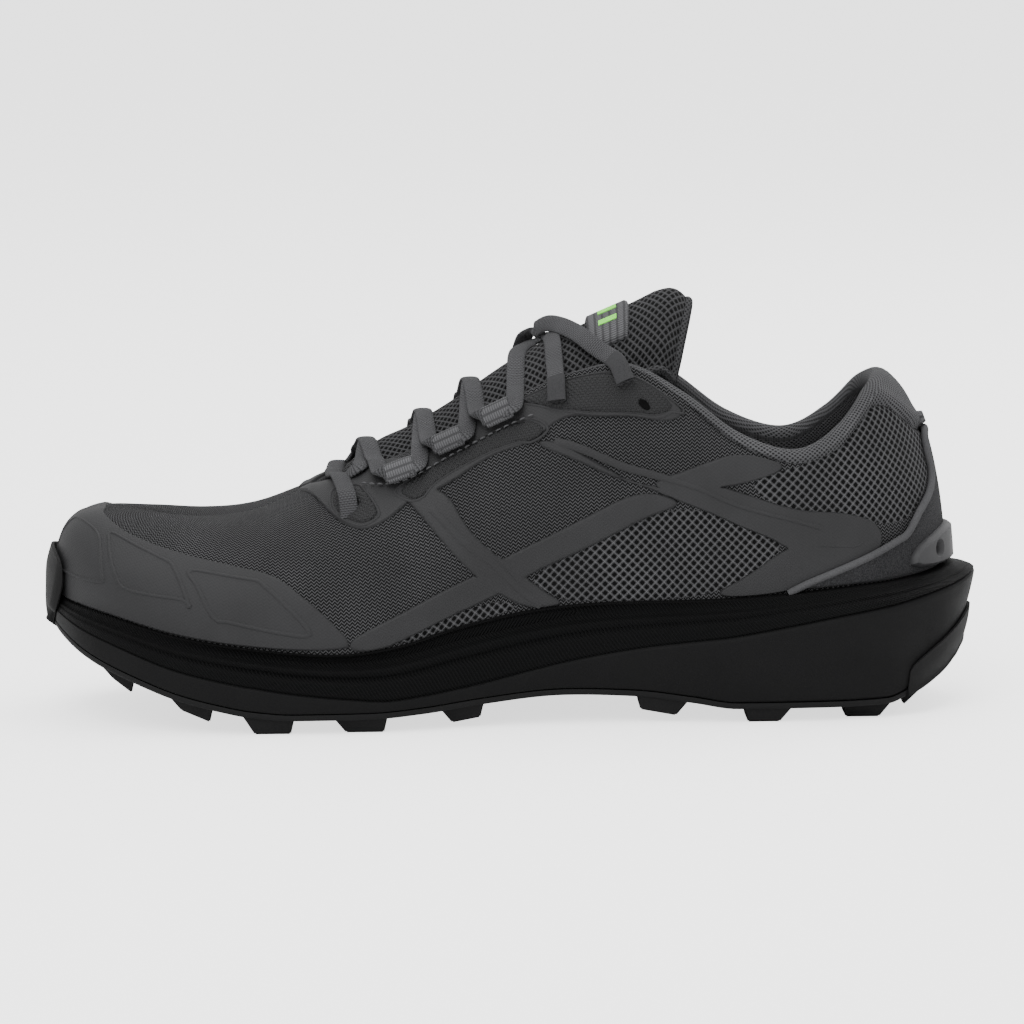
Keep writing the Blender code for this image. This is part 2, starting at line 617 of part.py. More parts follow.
def wrap(name, start, end, thick, rows):
    """Rubber that climbs the end of the shoe from the plate; rows give its section from the top."""
    skin = Skin()
    loops = []
    count = WRAP_STEPS
    for i in range(count + 1):
        k = start + (end - start) * i / count
        reach = 0.5 + 0.5 * math.sqrt(max(0.0, 1 - (2 * i / count - 1) ** 2))
        outs, inns = [], []
        for kind, value in rows:
            if kind == "shell":
                point = shell(k, value * reach)
            else:
                point = side_point(k, 1.0, 2 - (2 - value) * reach)
            full = thick * (0.6 if (kind, value) == rows[0] or i in (0, count) else 1.0)
            clear = FIT * 4 + FILM if kind == "shell" else FIT
            inns.append(point + outward(k) * clear)
            outs.append(point + outward(k) * (clear + full))
        foot = outs[-1].copy()
        foot[2] = under(foot[0]) - WRAP_SINK
        root = plate_point(k, thick + 0.002, -WRAP_SINK)
        roof = plate_point(k, thick + 0.002, PLATE - WRAP_SINK)
        inner_foot = inns[-1].copy()
        inner_foot[2] = under(inner_foot[0]) + PLATE - WRAP_SINK
        loops.append(skin.ring(outs + [foot, root, roof, inner_foot] + inns[::-1]))
    for one, two in zip(loops, loops[1:]):
        skin.join(one, two)
    for loop in (loops[0], loops[-1]):
        count = len(rows)
        for j in range(count - 1):
            skin.faces.append([loop[j], loop[j + 1], loop[-j - 2], loop[-j - 1]])
        skin.faces.append([loop[count - 1], loop[count], loop[count + 3], loop[count + 4]])
        skin.faces.append([loop[count], loop[count + 1], loop[count + 2], loop[count + 3]])
    return add_object(name, skin.points, skin.faces, "rubber", 30)


def build_outsole():
    """Rubber plate with its lugs joined on."""
    skin = Skin()
    bottom = skin.ring([plate_point(k, PLATE * 0.2, 0.0) for k in PLACES])
    top = skin.ring([plate_point(k, 0.0, PLATE) for k in PLACES])
    skin.join(bottom, top)
    skin.fill(bottom)
    skin.fill(top)
    plate = add_object("outsole", skin.points, skin.faces, "rubber", 30)
    lugs = []
    for row, (start, end) in enumerate(LUG_ROWS):
        x0, x1 = along(start), along(end)
        medial = min(half_width(x0, -1), half_width(x1, -1)) - 0.001
        lateral = min(half_width(x0, 1), half_width(x1, 1)) - 0.001
        for number, (low, high) in enumerate(((-1.0, -0.58), (-0.42, -0.06), (0.10, 0.46), (0.60, 1.0))):
            y0 = low * (medial if low < 0 else lateral)
            y1 = high * (medial if high < 0 else lateral)
            lugs.append(lug(f"lug_{row}_{number}", x0, x1, y0, y1, row in STANDING))
    lugs.append(wrap("toe_wrap", -BUMPER_REACH, BUMPER_REACH, BUMPER, BUMPER_ROWS))
    lugs.append(wrap("heel_wrap", LAST - HEEL_REACH, LAST + HEEL_REACH, HEEL_WRAP, HEEL_ROWS))
    for piece in lugs:
        union = plate.modifiers.new("lug", "BOOLEAN")
        union.operation = "UNION"
        union.solver = "EXACT"
        union.object = piece
        piece.hide_render = True
        piece.display_type = "WIRE"
    return plate


def build_tongue():
    """The padded tongue: its flanks follow the inside of the eyestay, its free end stands up."""
    rows = []
    stations = [TONGUE_START + (TONGUE_END - TONGUE_START) * i / 9 for i in range(10)]
    flank = (0.82, 0.88, 0.94, 1.0)
    for s in stations:
        sides = []
        for k in (s, 2 * LAST - s):
            sides.append([skin_point(k, v, -wall(k, v) - 2 * FIT) for v in flank])
        medial, lateral = sides
        crest = (medial[-1] + lateral[-1]) / 2
        crest[2] += TONGUE_ARCH * ease((s - THROAT) / 1.0) - TONGUE_SINK * (1 - ease((s - THROAT) / 0.9))
        crest[2] += (TONGUE_PEAK - TONGUE_ARCH) * ease((s - THROAT - 1.2) / 2.4)
        for point in medial + lateral:
            point[2] -= TONGUE_SINK * (1 - ease((s - THROAT) / 0.9))
        half = (medial[-1] + crest) / 2
        half[2] = crest[2] - (crest[2] - medial[-1][2]) * 0.30
        other = (lateral[-1] + crest) / 2
        other[2] = crest[2] - (crest[2] - lateral[-1][2]) * 0.30
        rows.append(medial + [half, crest, other] + lateral[::-1])
    base = rows[-1]
    crest = base[len(base) // 2]
    for share, width in TONGUE_ROWS[1:]:
        move = np.array([TONGUE_FREE * share, 0, TONGUE_FREE * share * TONGUE_RISE])
        move[2] -= TONGUE_BOW * ease((share - 0.84) / 0.16)
        moved = []
        for point in base:
            offset = (point - crest) * np.array([1, width, width])
            moved.append(crest + offset + move)
        rows.append(moved)
    rows = np.array(rows)
    inner = np.zeros_like(rows)
    count, across, _ = rows.shape
    for i in range(count):
        for j in range(across):
            run = rows[min(i + 1, count - 1)][j] - rows[max(i - 1, 0)][j]
            turn = rows[i][min(j + 1, across - 1)] - rows[i][max(j - 1, 0)]
            normal = np.cross(run, turn)
            normal /= np.linalg.norm(normal)
            thick = TONGUE_PAD * (0.35 if j in (0, across - 1) or i in (0, count - 1) else 1.0)
            inner[i][j] = rows[i][j] - normal * thick
    skin = Skin()
    loops = []
    for i in range(count):
        loops.append(skin.ring(list(rows[i]) + list(inner[i][::-1])))
    for one, two in zip(loops, loops[1:]):
        skin.join(one, two)
    for loop in (loops[0], loops[-1]):
        for j in range(across - 1):
            skin.faces.append([loop[j], loop[j + 1], loop[-j - 2], loop[-j - 1]])
    add_object("tongue", skin.points, skin.faces, "tongue_mesh", 50)
    free = rows[-len(TONGUE_ROWS):]
    return free[KEEPER_ROWS[0]:KEEPER_ROWS[1] + 1]


def build_keeper(edges):
    """The woven keeper over the tongue's crest, between two rows of the tongue's outer points."""
    middle = edges.shape[1] // 2
    strips = []
    for share in (0.0, 0.5, 1.0):
        row = edges[0] * (1 - share) + edges[-1] * share
        first = (row[middle - 2] + row[middle - 1]) / 2
        last = (row[middle + 2] + row[middle + 1]) / 2
        strips.append([first, row[middle - 1], row[middle], row[middle + 1], last])
    strips = np.array(strips)
    skin = Skin()
    loops = []
    for i in range(3):
        low, high = [], []
        for j in range(5):
            run = strips[min(i + 1, 2)][j] - strips[max(i - 1, 0)][j]
            turn = strips[i][min(j + 1, 4)] - strips[i][max(j - 1, 0)]
            normal = np.cross(run, turn)
            normal /= np.linalg.norm(normal)
            low.append(strips[i][j] + normal * FIT * 2)
            high.append(strips[i][j] + normal * (FIT * 2 + KEEPER))
        loops.append(skin.ring(high + low[::-1]))
    for one, two in zip(loops, loops[1:]):
        skin.join(one, two)
    for loop in (loops[0], loops[-1]):
        for j in range(4):
            skin.faces.append([loop[j], loop[j + 1], loop[-j - 2], loop[-j - 1]])
    return add_object("lace_keeper", skin.points, skin.faces, "webbing", 50)


def inside(point, loop):
    """Whether a flat point lies inside a flat loop."""
    x, y = point
    hit = False
    for (x0, y0), (x1, y1) in zip(loop, loop[1:] + loop[:1]):
        if (y0 > y) != (y1 > y) and x < (x1 - x0) * (y - y0) / (y1 - y0) + x0:
            hit = not hit
    return hit


def divided(loop, step):
    """The loop's corners with more points between them."""
    points = []
    for (x0, y0), (x1, y1) in zip(loop, loop[1:] + loop[:1]):
        parts = max(1, round(math.hypot(x1 - x0, y1 - y0) / step))
        points.extend((x0 + (x1 - x0) * i / parts, y0 + (y1 - y0) * i / parts) for i in range(parts))
    return points


def ground_under(names):
    """A search tree of the named objects' surfaces."""
    points, faces = [], []
    for name in names:
        mesh = bpy.data.objects[name].data
        start = len(points)
        points.extend(vertex.co.copy() for vertex in mesh.vertices)
        faces.extend([start + i for i in face.vertices] for face in mesh.polygons)
    return BVHTree.FromPolygons(points, faces)


def clearing(spots, faces, gap, thick, tree):
    """Lift of each spot over the upper, raised where a face would touch a facet below it."""
    lifts = [gap] * len(spots)
    for _ in range(12):
        low = [Vector(skin_point(k, v, lift - FIT / 2)) for (k, v), lift in zip(spots, lifts)]
        high = [Vector(skin_point(k, v, lift + thick)) for (k, v), lift in zip(spots, lifts)]
        count = len(spots)
        shell_faces = [tuple(face) for face in faces] + [tuple(i + count for i in face) for face in faces]
        touching = BVHTree.FromPolygons(low + high, shell_faces).overlap(tree)
        raised = {i % count for face, _ in touching for i in shell_faces[face]}
        if not raised:
            break
        for i in raised:
            lifts[i] += FIT / 2
    return lifts


def panel(name, loops, gap, thick, slot, under_names, holes=()):
    """A film or patch over the upper: flat loops of (section, height) laid on its outer surface."""
    flats = [divided([(k * CELL[0], v * CELL[1]) for k, v in loop], PANEL_STEP) for loop in loops]
    cuts = [[(k * CELL[0], v * CELL[1]) for k, v in hole] for hole in holes]
    verts, edges, faces = [], [], []
    for flat in flats:
        start = len(verts)
        verts.extend(flat)
        faces.append(list(range(start, len(verts))))
    for cut in cuts:
        start = len(verts)
        verts.extend(cut)
        edges.extend((start + i, start + (i + 1) % len(cut)) for i in range(len(cut)))
    low_x, high_x = min(v[0] for v in verts), max(v[0] for v in verts)
    low_y, high_y = min(v[1] for v in verts), max(v[1] for v in verts)
    for i in range(1, math.ceil((high_x - low_x) / PANEL_STEP)):
        for j in range(1, math.ceil((high_y - low_y) / PANEL_STEP)):
            spot = (low_x + (i + 0.5 * (j % 2)) * PANEL_STEP, low_y + j * PANEL_STEP)
            near = min(math.hypot(spot[0] - v[0], spot[1] - v[1]) for flat in flats + cuts for v in flat)
            if near > 0.5 * PANEL_STEP and any(inside(spot, flat) for flat in flats):
                verts.append(spot)
    out, _, tris, _, _, _ = delaunay_2d_cdt([Vector(v) for v in verts], edges, faces, 1, 1e-5)
    out = [tuple(v) for v in out]
    kept = []
    for tri in tris:
        middle = [sum(out[i][axis] for i in tri) / 3 for axis in (0, 1)]
        if not any(inside(middle, cut) for cut in cuts):
            kept.append(tuple(tri))
    used = sorted({i for tri in kept for i in tri})
    new = {old: i for i, old in enumerate(used)}
    spots = [(out[i][0] / CELL[0], out[i][1] / CELL[1]) for i in used]
    count = len(used)
    faces = [tuple(new[i] for i in tri) for tri in kept]
    lifts = clearing(spots, faces, gap, thick, ground_under(under_names))
    low = [skin_point(k, v, lift) for (k, v), lift in zip(spots, lifts)]
    high = [skin_point(k, v, lift + thick) for (k, v), lift in zip(spots, lifts)]
    sides = {}
    for tri in faces:
        for i in range(3):
            sides[(tri[i], tri[(i + 1) % 3])] = True
    walls = [(a, b, b + count, a + count) for a, b in sides if (b, a) not in sides]
    lows = [tuple(reversed(tri)) for tri in faces]
    highs = [tuple(i + count for i in tri) for tri in faces]
    return add_object(name, low + high, lows + highs + walls, slot, 30)


def mirrored(half):
    """A loop across the toe or heel: the half given, then its mirror image."""
    middle = half[-1][0]
    return list(half) + [(2 * middle - k, v) for k, v in reversed(half[:-1])]


def other_side(loop):
    """The same loop on the lateral side."""
    return [(2 * LAST - k, v) for k, v in reversed(loop)]


def build_films():
    """Toe film, side films, heel counter, gaiter tab and heel tab."""
    panel("toe_film", [mirrored(TOE_FILM)], FIT, FILM, "film", ["upper"])
    sides = [list(corners) for _, corners in FILM_PANELS]
    panel("side_film_medial", sides, FIT, FILM, "film", ["upper"])
    panel("side_film_lateral", [other_side(corners) for corners in sides], FIT, FILM, "film", ["upper"])
    panel("heel_counter", [mirrored(COUNTER)], FIT, GUARD, "suede", ["upper"])
    place, height, half_place, half_height = GAITER_HOLE
    holes = []
    for centre in (place, 2 * LAST - place):
        turns = [2 * math.pi * i / 8 for i in range(8)]
        holes.append([(centre + half_place * math.cos(t), height + half_height * math.sin(t)) for t in turns])
    over = FIT * 2 + GUARD
    panel("gaiter_tab", [mirrored(GAITER_TAB)], over, GAITER, "rubber", ["heel_counter"], holes)
    panel("heel_tab", [mirrored(HEEL_TAB)], FIT, GUARD * 1.5, "webbing", ["upper"])


def tube(name, centres, sides, wide, thick, slot):
    """A flat oval tube through the centres; sides gives the direction of its width at each."""
    skin = Skin()
    loops = []
    for i, centre in enumerate(centres):
        run = centres[min(i + 1, len(centres) - 1)] - centres[max(i - 1, 0)]
        run = run / np.linalg.norm(run)
        across = sides[i] - run * np.dot(sides[i], run)
        across = across / np.linalg.norm(across)
        up = np.cross(across, run)
        ring = []
        for j in range(LACE_SIDES):
            turn = 2 * math.pi * (j + 0.5) / LACE_SIDES
            ring.append(centre + across * math.cos(turn) * wide / 2 + up * math.sin(turn) * thick / 2)
        loops.append(skin.ring(ring))
    for one, two in zip(loops, loops[1:]):
        skin.join(one, two)
    skin.faces.append(loops[0])
    skin.faces.append(loops[-1])
    return add_object(name, skin.points, skin.faces, slot, 50)


def loop_frame(index, side):
    """Middle of a lace loop, and its directions along the throat, across it and up."""
    station, v = LOOPS[index]
    k = station if side < 0 else 2 * LAST - station
    step = 0.2 if side < 0 else -0.2
    run = shell(k + step, v) - shell(k - step, v)
    run = run / np.linalg.norm(run)
    up = shell_normal(k, v)
    across = np.cross(up, run)
    lift = FIT * 1.3 + FILM + FIT + LOOP_TALL / 2
    return skin_point(k, v, lift), run, across, up


def build_loops():
    """The ribbed webbing loops, each a short flat tube for the lace."""
    for side, word in ((-1, "medial"), (1, "lateral")):
        for index in range(len(LOOPS)):
            centre, run, across, up = loop_frame(index, side)
            skin = Skin()
            rings = []
            for end, slim in ((-1, 0.0), (1, 0.0), (1, LOOP_WEB), (-1, LOOP_WEB)):
                ring = []
                for j in range(LOOP_SIDES):
                    turn = 2 * math.pi * j / LOOP_SIDES
                    flat = across * math.cos(turn) * (LOOP_WIDE / 2 - slim)
                    tall = up * math.sin(turn) * (LOOP_TALL / 2 - slim)
                    ring.append(centre + run * end * LOOP_LONG / 2 + flat + tall)
                rings.append(skin.ring(ring))
            for i in range(4):
                skin.join(rings[i], rings[(i + 1) % 4])
            add_object(f"lace_loop_{word}_{index + 1}", skin.points, skin.faces, "webbing", 50)


def strand(name, start, end, tree, extra=0.0):
    """A stretch of lace laid over the tongue between two places."""
    count = LACE_STEPS
    flat = np.array([end[1] - start[1], start[0] - end[0], 0.0])
    flat = flat / np.linalg.norm(flat)
    heights, spots = [], []
    for i in range(count):
        t = i / (count - 1)
        spot = start * (1 - t) + end * t
        need = spot[2]
        for reach in (-0.6, 0.0, 0.6):
            probe = spot + flat * LACE_WIDE * reach
            hit = tree.ray_cast(Vector((probe[0], probe[1], 0.2)), Vector((0, 0, -1)))
            if hit[0] is not None:
                need = max(need, hit[0].z + LACE_THICK * 0.5 + LACE_CLEAR)
        spots.append(spot)
        heights.append(need + extra * ease(2 - abs(4 * t - 2)))
    for _ in range(2):
        smooth = list(heights)
        for i in range(1, count - 1):
            smooth[i] = max(heights[i], (heights[i - 1] + heights[i + 1]) / 2)
        heights = smooth
    centres = []
    for spot, height in zip(spots, heights):
        centres.append(np.array([spot[0], spot[1], height]))
    return tube(name, centres, [flat] * count, LACE_WIDE, LACE_THICK, "lace")


def build_lace():
    """The bar over the throat's base and the crossings between the loops."""
    tree = ground_under(["upper", "tongue", "side_film_medial", "side_film_lateral"])
    k, v = EYELET
    lift = FIT * 1.3 + FILM + LACE_CLEAR + LACE_THICK
    ends = [skin_point(k, v, lift), skin_point(2 * LAST - k, v, lift)]
    strand("lace_bar", ends[0], ends[1], tree)
    clear = (LOOP_LONG + LACE_WIDE) / 2 + LACE_CLEAR
    for index in range(len(LOOPS) + 1):
        strands = []
        for side in (-1, 1):
            if index < len(LOOPS):
                centre, run, _, _ = loop_frame(index, -side)
                finish = centre - run * clear
            else:
                over = LAST_CROSS[0 if side < 0 else 1]
                finish = np.array([over[0], over[1], 0.0])
            if index == 0:
                place = k + LACE_START[0] if side < 0 else 2 * LAST - k - LACE_START[0]
                start = skin_point(place, v + LACE_START[1], lift)
            else:
                centre, run, _, _ = loop_frame(index - 1, side)
                start = centre + run * clear
            name = f"lace_cross_{index + 1}" if side < 0 else f"strand_{index + 1}"
            strands.append(strand(name, start, finish, tree, 0.0 if side < 0 else LACE_THICK * 0.6))
        union = strands[0].modifiers.new("join", "BOOLEAN")
        union.operation = "UNION"
        union.solver = "EXACT"
        union.object = strands[1]
        strands[1].hide_render = True
        strands[1].display_type = "WIRE"


def clear_scene():
    """Remove what a new file starts with."""
    for item in list(bpy.data.objects):
        bpy.data.objects.remove(item, do_unlink=True)


def spline_through(route, at):
    """Smooth point at place at along a route's points."""
    i = min(int(at), len(route) - 2)
    t = at - i
    last = len(route) - 1
    a, b, c, d = (np.array(route[min(max(i + j, 0), last)]) for j in (-1, 0, 1, 2))
    return 0.5 * (2 * b + (c - a) * t + (2 * a - 5 * b + 4 * c - d) * t * t + (3 * b - a - 3 * c + d) * t ** 3)


def build_lace_ends():
    """The two free ends that hang from the last crossing, as plain tubes."""
    for name, route in LACE_ENDS.items():
        curve = bpy.data.curves.new(name, "CURVE")
        curve.dimensions = "3D"
        curve.bevel_depth = LACE_ROUND
        curve.bevel_resolution = 2
        curve.use_fill_caps = True
        spline = curve.splines.new("POLY")
        spline.points.add(LACE_POINTS - 1)
        for i, point in enumerate(spline.points):
            at = i / (LACE_POINTS - 1) * (len(route) - 1)
            spot = spline_through(route, at)
            point.co = (*spot, 1)
        curve.materials.append(material("lace"))
        bpy.context.collection.objects.link(bpy.data.objects.new(name, curve))


def stand_on_origin():
    """Put the middle of the shoe's outline over the origin."""
    corners = []
    for item in bpy.data.objects:
        corners.extend(vertex.co for vertex in item.data.vertices)
    middle = [(min(c[axis] for c in corners) + max(c[axis] for c in corners)) / 2 for axis in (0, 1)]
    for item in bpy.data.objects:
        item.data.transform(Matrix.Translation((-middle[0], -middle[1], 0)))


def main():
    clear_scene()
    build_upper()
    build_midsole()
    build_insole()
    build_outsole()
    build_keeper(build_tongue())
    build_films()
    build_loops()
    build_lace()
    stand_on_origin()
    build_lace_ends()


main()
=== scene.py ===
"""Looks of a trail running shoe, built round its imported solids.

Run as a script: each operator builds one piece or one group of like pieces. Metres, +Z up, the toe
points to -X and the medial side to -Y.
"""

import json
import math

import bmesh
import bpy
import numpy as np
from bpy.props import FloatProperty, FloatVectorProperty, PointerProperty
from mathutils import Matrix, Vector
from mathutils.bvhtree import BVHTree
from mathutils.geometry import delaunay_2d_cdt

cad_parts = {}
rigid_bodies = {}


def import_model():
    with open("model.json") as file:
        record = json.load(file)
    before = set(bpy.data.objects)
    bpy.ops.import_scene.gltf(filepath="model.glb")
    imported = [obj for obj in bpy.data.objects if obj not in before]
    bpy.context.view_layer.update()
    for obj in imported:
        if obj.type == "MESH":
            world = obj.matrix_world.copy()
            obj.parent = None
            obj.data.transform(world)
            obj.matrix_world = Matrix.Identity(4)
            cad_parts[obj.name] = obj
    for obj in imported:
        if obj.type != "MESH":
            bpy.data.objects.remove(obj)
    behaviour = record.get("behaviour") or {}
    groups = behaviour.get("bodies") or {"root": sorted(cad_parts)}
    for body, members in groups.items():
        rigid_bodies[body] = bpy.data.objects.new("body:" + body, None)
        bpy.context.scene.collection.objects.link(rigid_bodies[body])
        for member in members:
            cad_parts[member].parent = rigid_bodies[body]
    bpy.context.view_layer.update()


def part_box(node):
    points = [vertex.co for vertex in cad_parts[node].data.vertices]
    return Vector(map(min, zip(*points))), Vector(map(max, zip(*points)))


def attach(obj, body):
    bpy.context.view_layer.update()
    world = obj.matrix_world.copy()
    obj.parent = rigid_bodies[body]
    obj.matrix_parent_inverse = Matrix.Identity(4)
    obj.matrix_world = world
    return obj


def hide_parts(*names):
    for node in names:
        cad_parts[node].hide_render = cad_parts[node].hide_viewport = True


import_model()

bl_info = {
    "name": "Trail running shoe",
    "version": (1, 0, 0),
    "blender": (4, 5, 0),
    "location": "View3D > Sidebar > Shoe",
    "description": "Builds the upper, films, sole, tongue, loops and laces of a trail running shoe",
    "category": "Add Mesh",
}

# Driving sizes
LENGTH = 0.300
BALL_WIDTH = 0.108
LUG_DEPTH = 0.0044
SIDE_RISE = 0.0412
UPPER_RISE = 0.0650
FIT = 0.0003
WALL = 0.0022
COLLAR_PAD = 0.0080
TONGUE_PAD = 0.0050
PLATE = 0.0020
BUMPER = 0.0018
HEEL_WRAP = 0.0014
INSOLE = 0.0040
FILM = 0.0008
GUARD = 0.0014
GAITER = 0.0022

# The upper, one row per section from the toe tip to the heel tip
STATIONS = (
    "along medial lateral bite top_along rise top_medial top_lateral"
    " swell lift shoulder crown pad depth"
).split()
SECTIONS = (
    (0.013, 0.02, -0.02, 0.850, 0.127, 0.37, 0.00, 0.00, 0.015, 0.93, 0.270, 0.28, 0.0, 0.17),
    (0.030, 0.19, 0.145, 0.835, 0.133, 0.38, 0.00, 0.00, 0.018, 0.93, 0.280, 0.27, 0.0, 0.18),
    (0.072, 0.33, 0.285, 0.780, 0.153, 0.40, 0.00, 0.00, 0.023, 0.85, 0.260, 0.23, 0.0, 0.20),
    (0.143, 0.41, 0.385, 0.645, 0.190, 0.49, 0.00, 0.00, 0.028, 0.75, 0.250, 0.14, 0.0, 0.20),
    (0.223, 0.437, 0.445, 0.550, 0.235, 0.59, 0.00, 0.00, 0.028, 0.65, 0.240, 0.09, 0.0, 0.17),
    (0.307, 0.437, 0.470, 0.500, 0.287, 0.73, 0.00, 0.00, 0.023, 0.60, 0.230, 0.06, 0.0, 0.14),
    (0.373, 0.420, 0.463, 0.550, 0.353, 0.82, 0.12, 0.12, 0.023, 0.55, 0.160, -0.04, 0.0, 0.18),
    (0.440, 0.385, 0.435, 0.685, 0.427, 0.89, 0.155, 0.155, 0.018, 0.50, 0.130, -0.08, 0.0, 0.24),
    (0.507, 0.348, 0.400, 0.780, 0.500, 1.01, 0.185, 0.185, 0.014, 0.45, 0.110, -0.12, 0.0, 0.27),
    (0.573, 0.332, 0.372, 0.830, 0.567, 1.11, 0.215, 0.215, 0.009, 0.42, 0.090, -0.16, 0.0, 0.26),
    (0.633, 0.328, 0.355, 0.842, 0.623, 1.13, 0.250, 0.250, 0.005, 0.40, 0.065, -0.22, 0.3, 0.25),
    (0.690, 0.328, 0.347, 0.848, 0.683, 0.96, 0.280, 0.280, 0.000, 0.40, 0.046, -0.25, 0.9, 0.24),
    (0.747, 0.328, 0.342, 0.865, 0.740, 0.75, 0.300, 0.300, 0.000, 0.40, 0.032, -0.27, 1.0, 0.24),
    (0.803, 0.320, 0.333, 0.895, 0.800, 0.645, 0.298, 0.298, 0.000, 0.40, 0.028, -0.28, 1.0, 0.25),
    (0.857, 0.300, 0.308, 0.930, 0.847, 0.73, 0.265, 0.265, -0.005, 0.40, 0.037, -0.28, 1.0, 0.26),
    (0.903, 0.245, 0.250, 0.950, 0.880, 0.885, 0.195, 0.195, -0.009, 0.40, 0.065, -0.21, 1.0, 0.27),
    (0.943, 0.145, 0.145, 0.980, 0.900, 0.945, 0.105, 0.105, -0.012, 0.40, 0.093, -0.16, 1.0, 0.28),
    (0.9645, 0.00, 0.00, 1.000, 0.907, 0.945, 0.00, 0.00, -0.012, 0.40, 0.102, -0.15, 1.0, 0.28),
)
LAST = len(SECTIONS) - 1
ROUND = 2 * LAST            # sections all the way round the shoe
FINE = 681                  # places round the shoe for fine rings, the last one back at the first
PLAIN = 341                 # and for plain rings
SOLE_COLUMNS = "flare groove ledge tuck".split()
SOLE_SECTIONS = (
    (0.016, 0.45, 0.0, 0.20), (0.030, 0.47, 0.0, 0.20), (0.044, 0.52, 0.1, 0.18), (0.046, 0.59, 0.4, 0.16),
    (0.046, 0.62, 0.9, 0.16), (0.046, 0.74, 1.0, 0.16), (0.044, 0.84, 1.0, 0.18), (0.040, 0.83, 1.0, 0.20),
    (0.038, 0.76, 1.0, 0.22), (0.040, 0.64, 0.8, 0.25), (0.045, 0.52, 0.6, 0.28), (0.055, 0.42, 0.4, 0.30),
    (0.064, 0.34, 0.2, 0.32), (0.072, 0.27, 0.0, 0.34), (0.080, 0.21, 0.0, 0.38), (0.088, 0.16, 0.0, 0.42),
    (0.094, 0.13, 0.0, 0.46), (0.098, 0.125, 0.0, 0.48),
)
LEDGE = 0.0022
THROAT = 5.0
THROAT_ROUND = 0.9
PAD_START = 0.55
PAD_FULL = 0.90
UNDERCUT = 0.018
SPRING = (
    (0.000, 0.640), (0.043, 0.450), (0.107, 0.250), (0.143, 0.155), (0.183, 0.080),
    (0.220, 0.027), (0.265, 0.000), (0.345, 0.000), (0.400, 0.025), (0.467, 0.080),
    (0.553, 0.125), (0.627, 0.105), (0.687, 0.050), (0.735, 0.000), (0.895, 0.000),
    (0.925, 0.070), (0.957, 0.190), (0.975, 0.290), (1.000, 0.500),
)

# Rings down the midsole's side, more of them than the plain solid has: share of the flare, place
# (0 bite line, 1 groove, 2 bottom edge), share of the ledge that pulls the ring in
SIDE_RINGS = (
    (0.00, 0.00, 0.0), (0.30, 0.03, 0.2), (0.40, 0.10, 0.9), (0.46, 0.20, 1.1), (0.56, 0.29, 0.8),
    (0.74, 0.36, 0.0), (0.78, 0.46, 0.0), (0.80, 0.54, 0.35), (0.90, 0.64, 0.0), (0.96, 0.84, 0.0),
    (0.97, 0.93, 0.0), (0.87, 0.985, 0.0), (0.99, 1.04, 0.0), (1.00, 1.12, 0.0), (1.00, 1.30, 0.0),
    (1.00, 1.60, 0.0), (1.00, 1.86, 0.0), (0.99, 1.97, 0.0), (0.94, 2.00, 0.0),
)

# Lugs: share of LENGTH where each row starts and ends
LUG_ROWS = (
    (0.060, 0.098), (0.133, 0.181), (0.210, 0.266), (0.306, 0.364), (0.418, 0.466),
    (0.628, 0.684), (0.742, 0.794), (0.848, 0.902), (0.914, 0.950),
)
LUG_BANDS = ((-1.0, -0.58), (-0.42, -0.06), (0.10, 0.46), (0.60, 1.0))
STANDING = (2, 3, 6, 7)
LUG_DRAFT = 0.0012
LUG_RAKE = 0.0042

BUMPER_REACH = 0.90
BUMPER_ROWS = (("shell", 0.27), ("shell", 0.14), ("side", 0.04), ("side", 0.50), ("side", 1.2),
               ("side", 2.0))
BUMPER_WIDTHS = (1.0, 1.0, 0.85, 0.60, 0.48, 0.42)  # share of the reach at each row
HEEL_REACH = 1.9
HEEL_ROWS = (("side", 1.62), ("side", 1.80), ("side", 2.0))

TONGUE_START = 5.2
TONGUE_END = 8.9
TONGUE_SINK = 0.0015
TONGUE_FREE = 0.0385
TONGUE_RISE = 0.43
TONGUE_ROWS = ((0.00, 1.00), (0.15, 0.93), (0.50, 0.86), (0.84, 0.80), (1.00, 0.64))
TONGUE_BOW = 0.0065
TONGUE_ARCH = 0.0080
TONGUE_PEAK = 0.0125
TONGUE_DROOP = 0.25         # how much deeper the free end hangs at its flanks
TONGUE_LEAN = 0.25          # how far the flanks of the end lie nearer the toe, for each unit down
KEEPER = 0.0012

LOOPS = ((6.34, 0.755), (7.07, 0.832), (7.80, 0.872))
LOOP_LONG = 0.0090
LOOP_WIDE = 0.0078
LOOP_TALL = 0.0050
EYELET = (5.51, 0.690)
LACE_THICK = 0.0024
BRAID_WIDE = 0.0058         # the braid lies wider and flatter than its plain solid
BRAID_THICK = 0.0018
LACE_PRESS = 0.0006         # how far the lace presses into what it lies on
CROSS_PRESS = 0.0010        # and into the strand under it
# Turn of the free ends' faces to the medial side in radians: at the crest, and how much more below it
END_TILT = (1.00, 0.10)
# Where the first crossing comes out of the throat: section, share of the wall's height
FIRST_START = (5.55, 0.93)
# Points in metres that the last medial strand passes on its way over the crest
LAST_BEND = ((0.0022, -0.0045, 0.108), (0.0064, 0.0036, 0.1150), (0.0100, 0.0050, 0.1180))
BAR_BOW = 0.0040            # how far the front bar bows to the toe

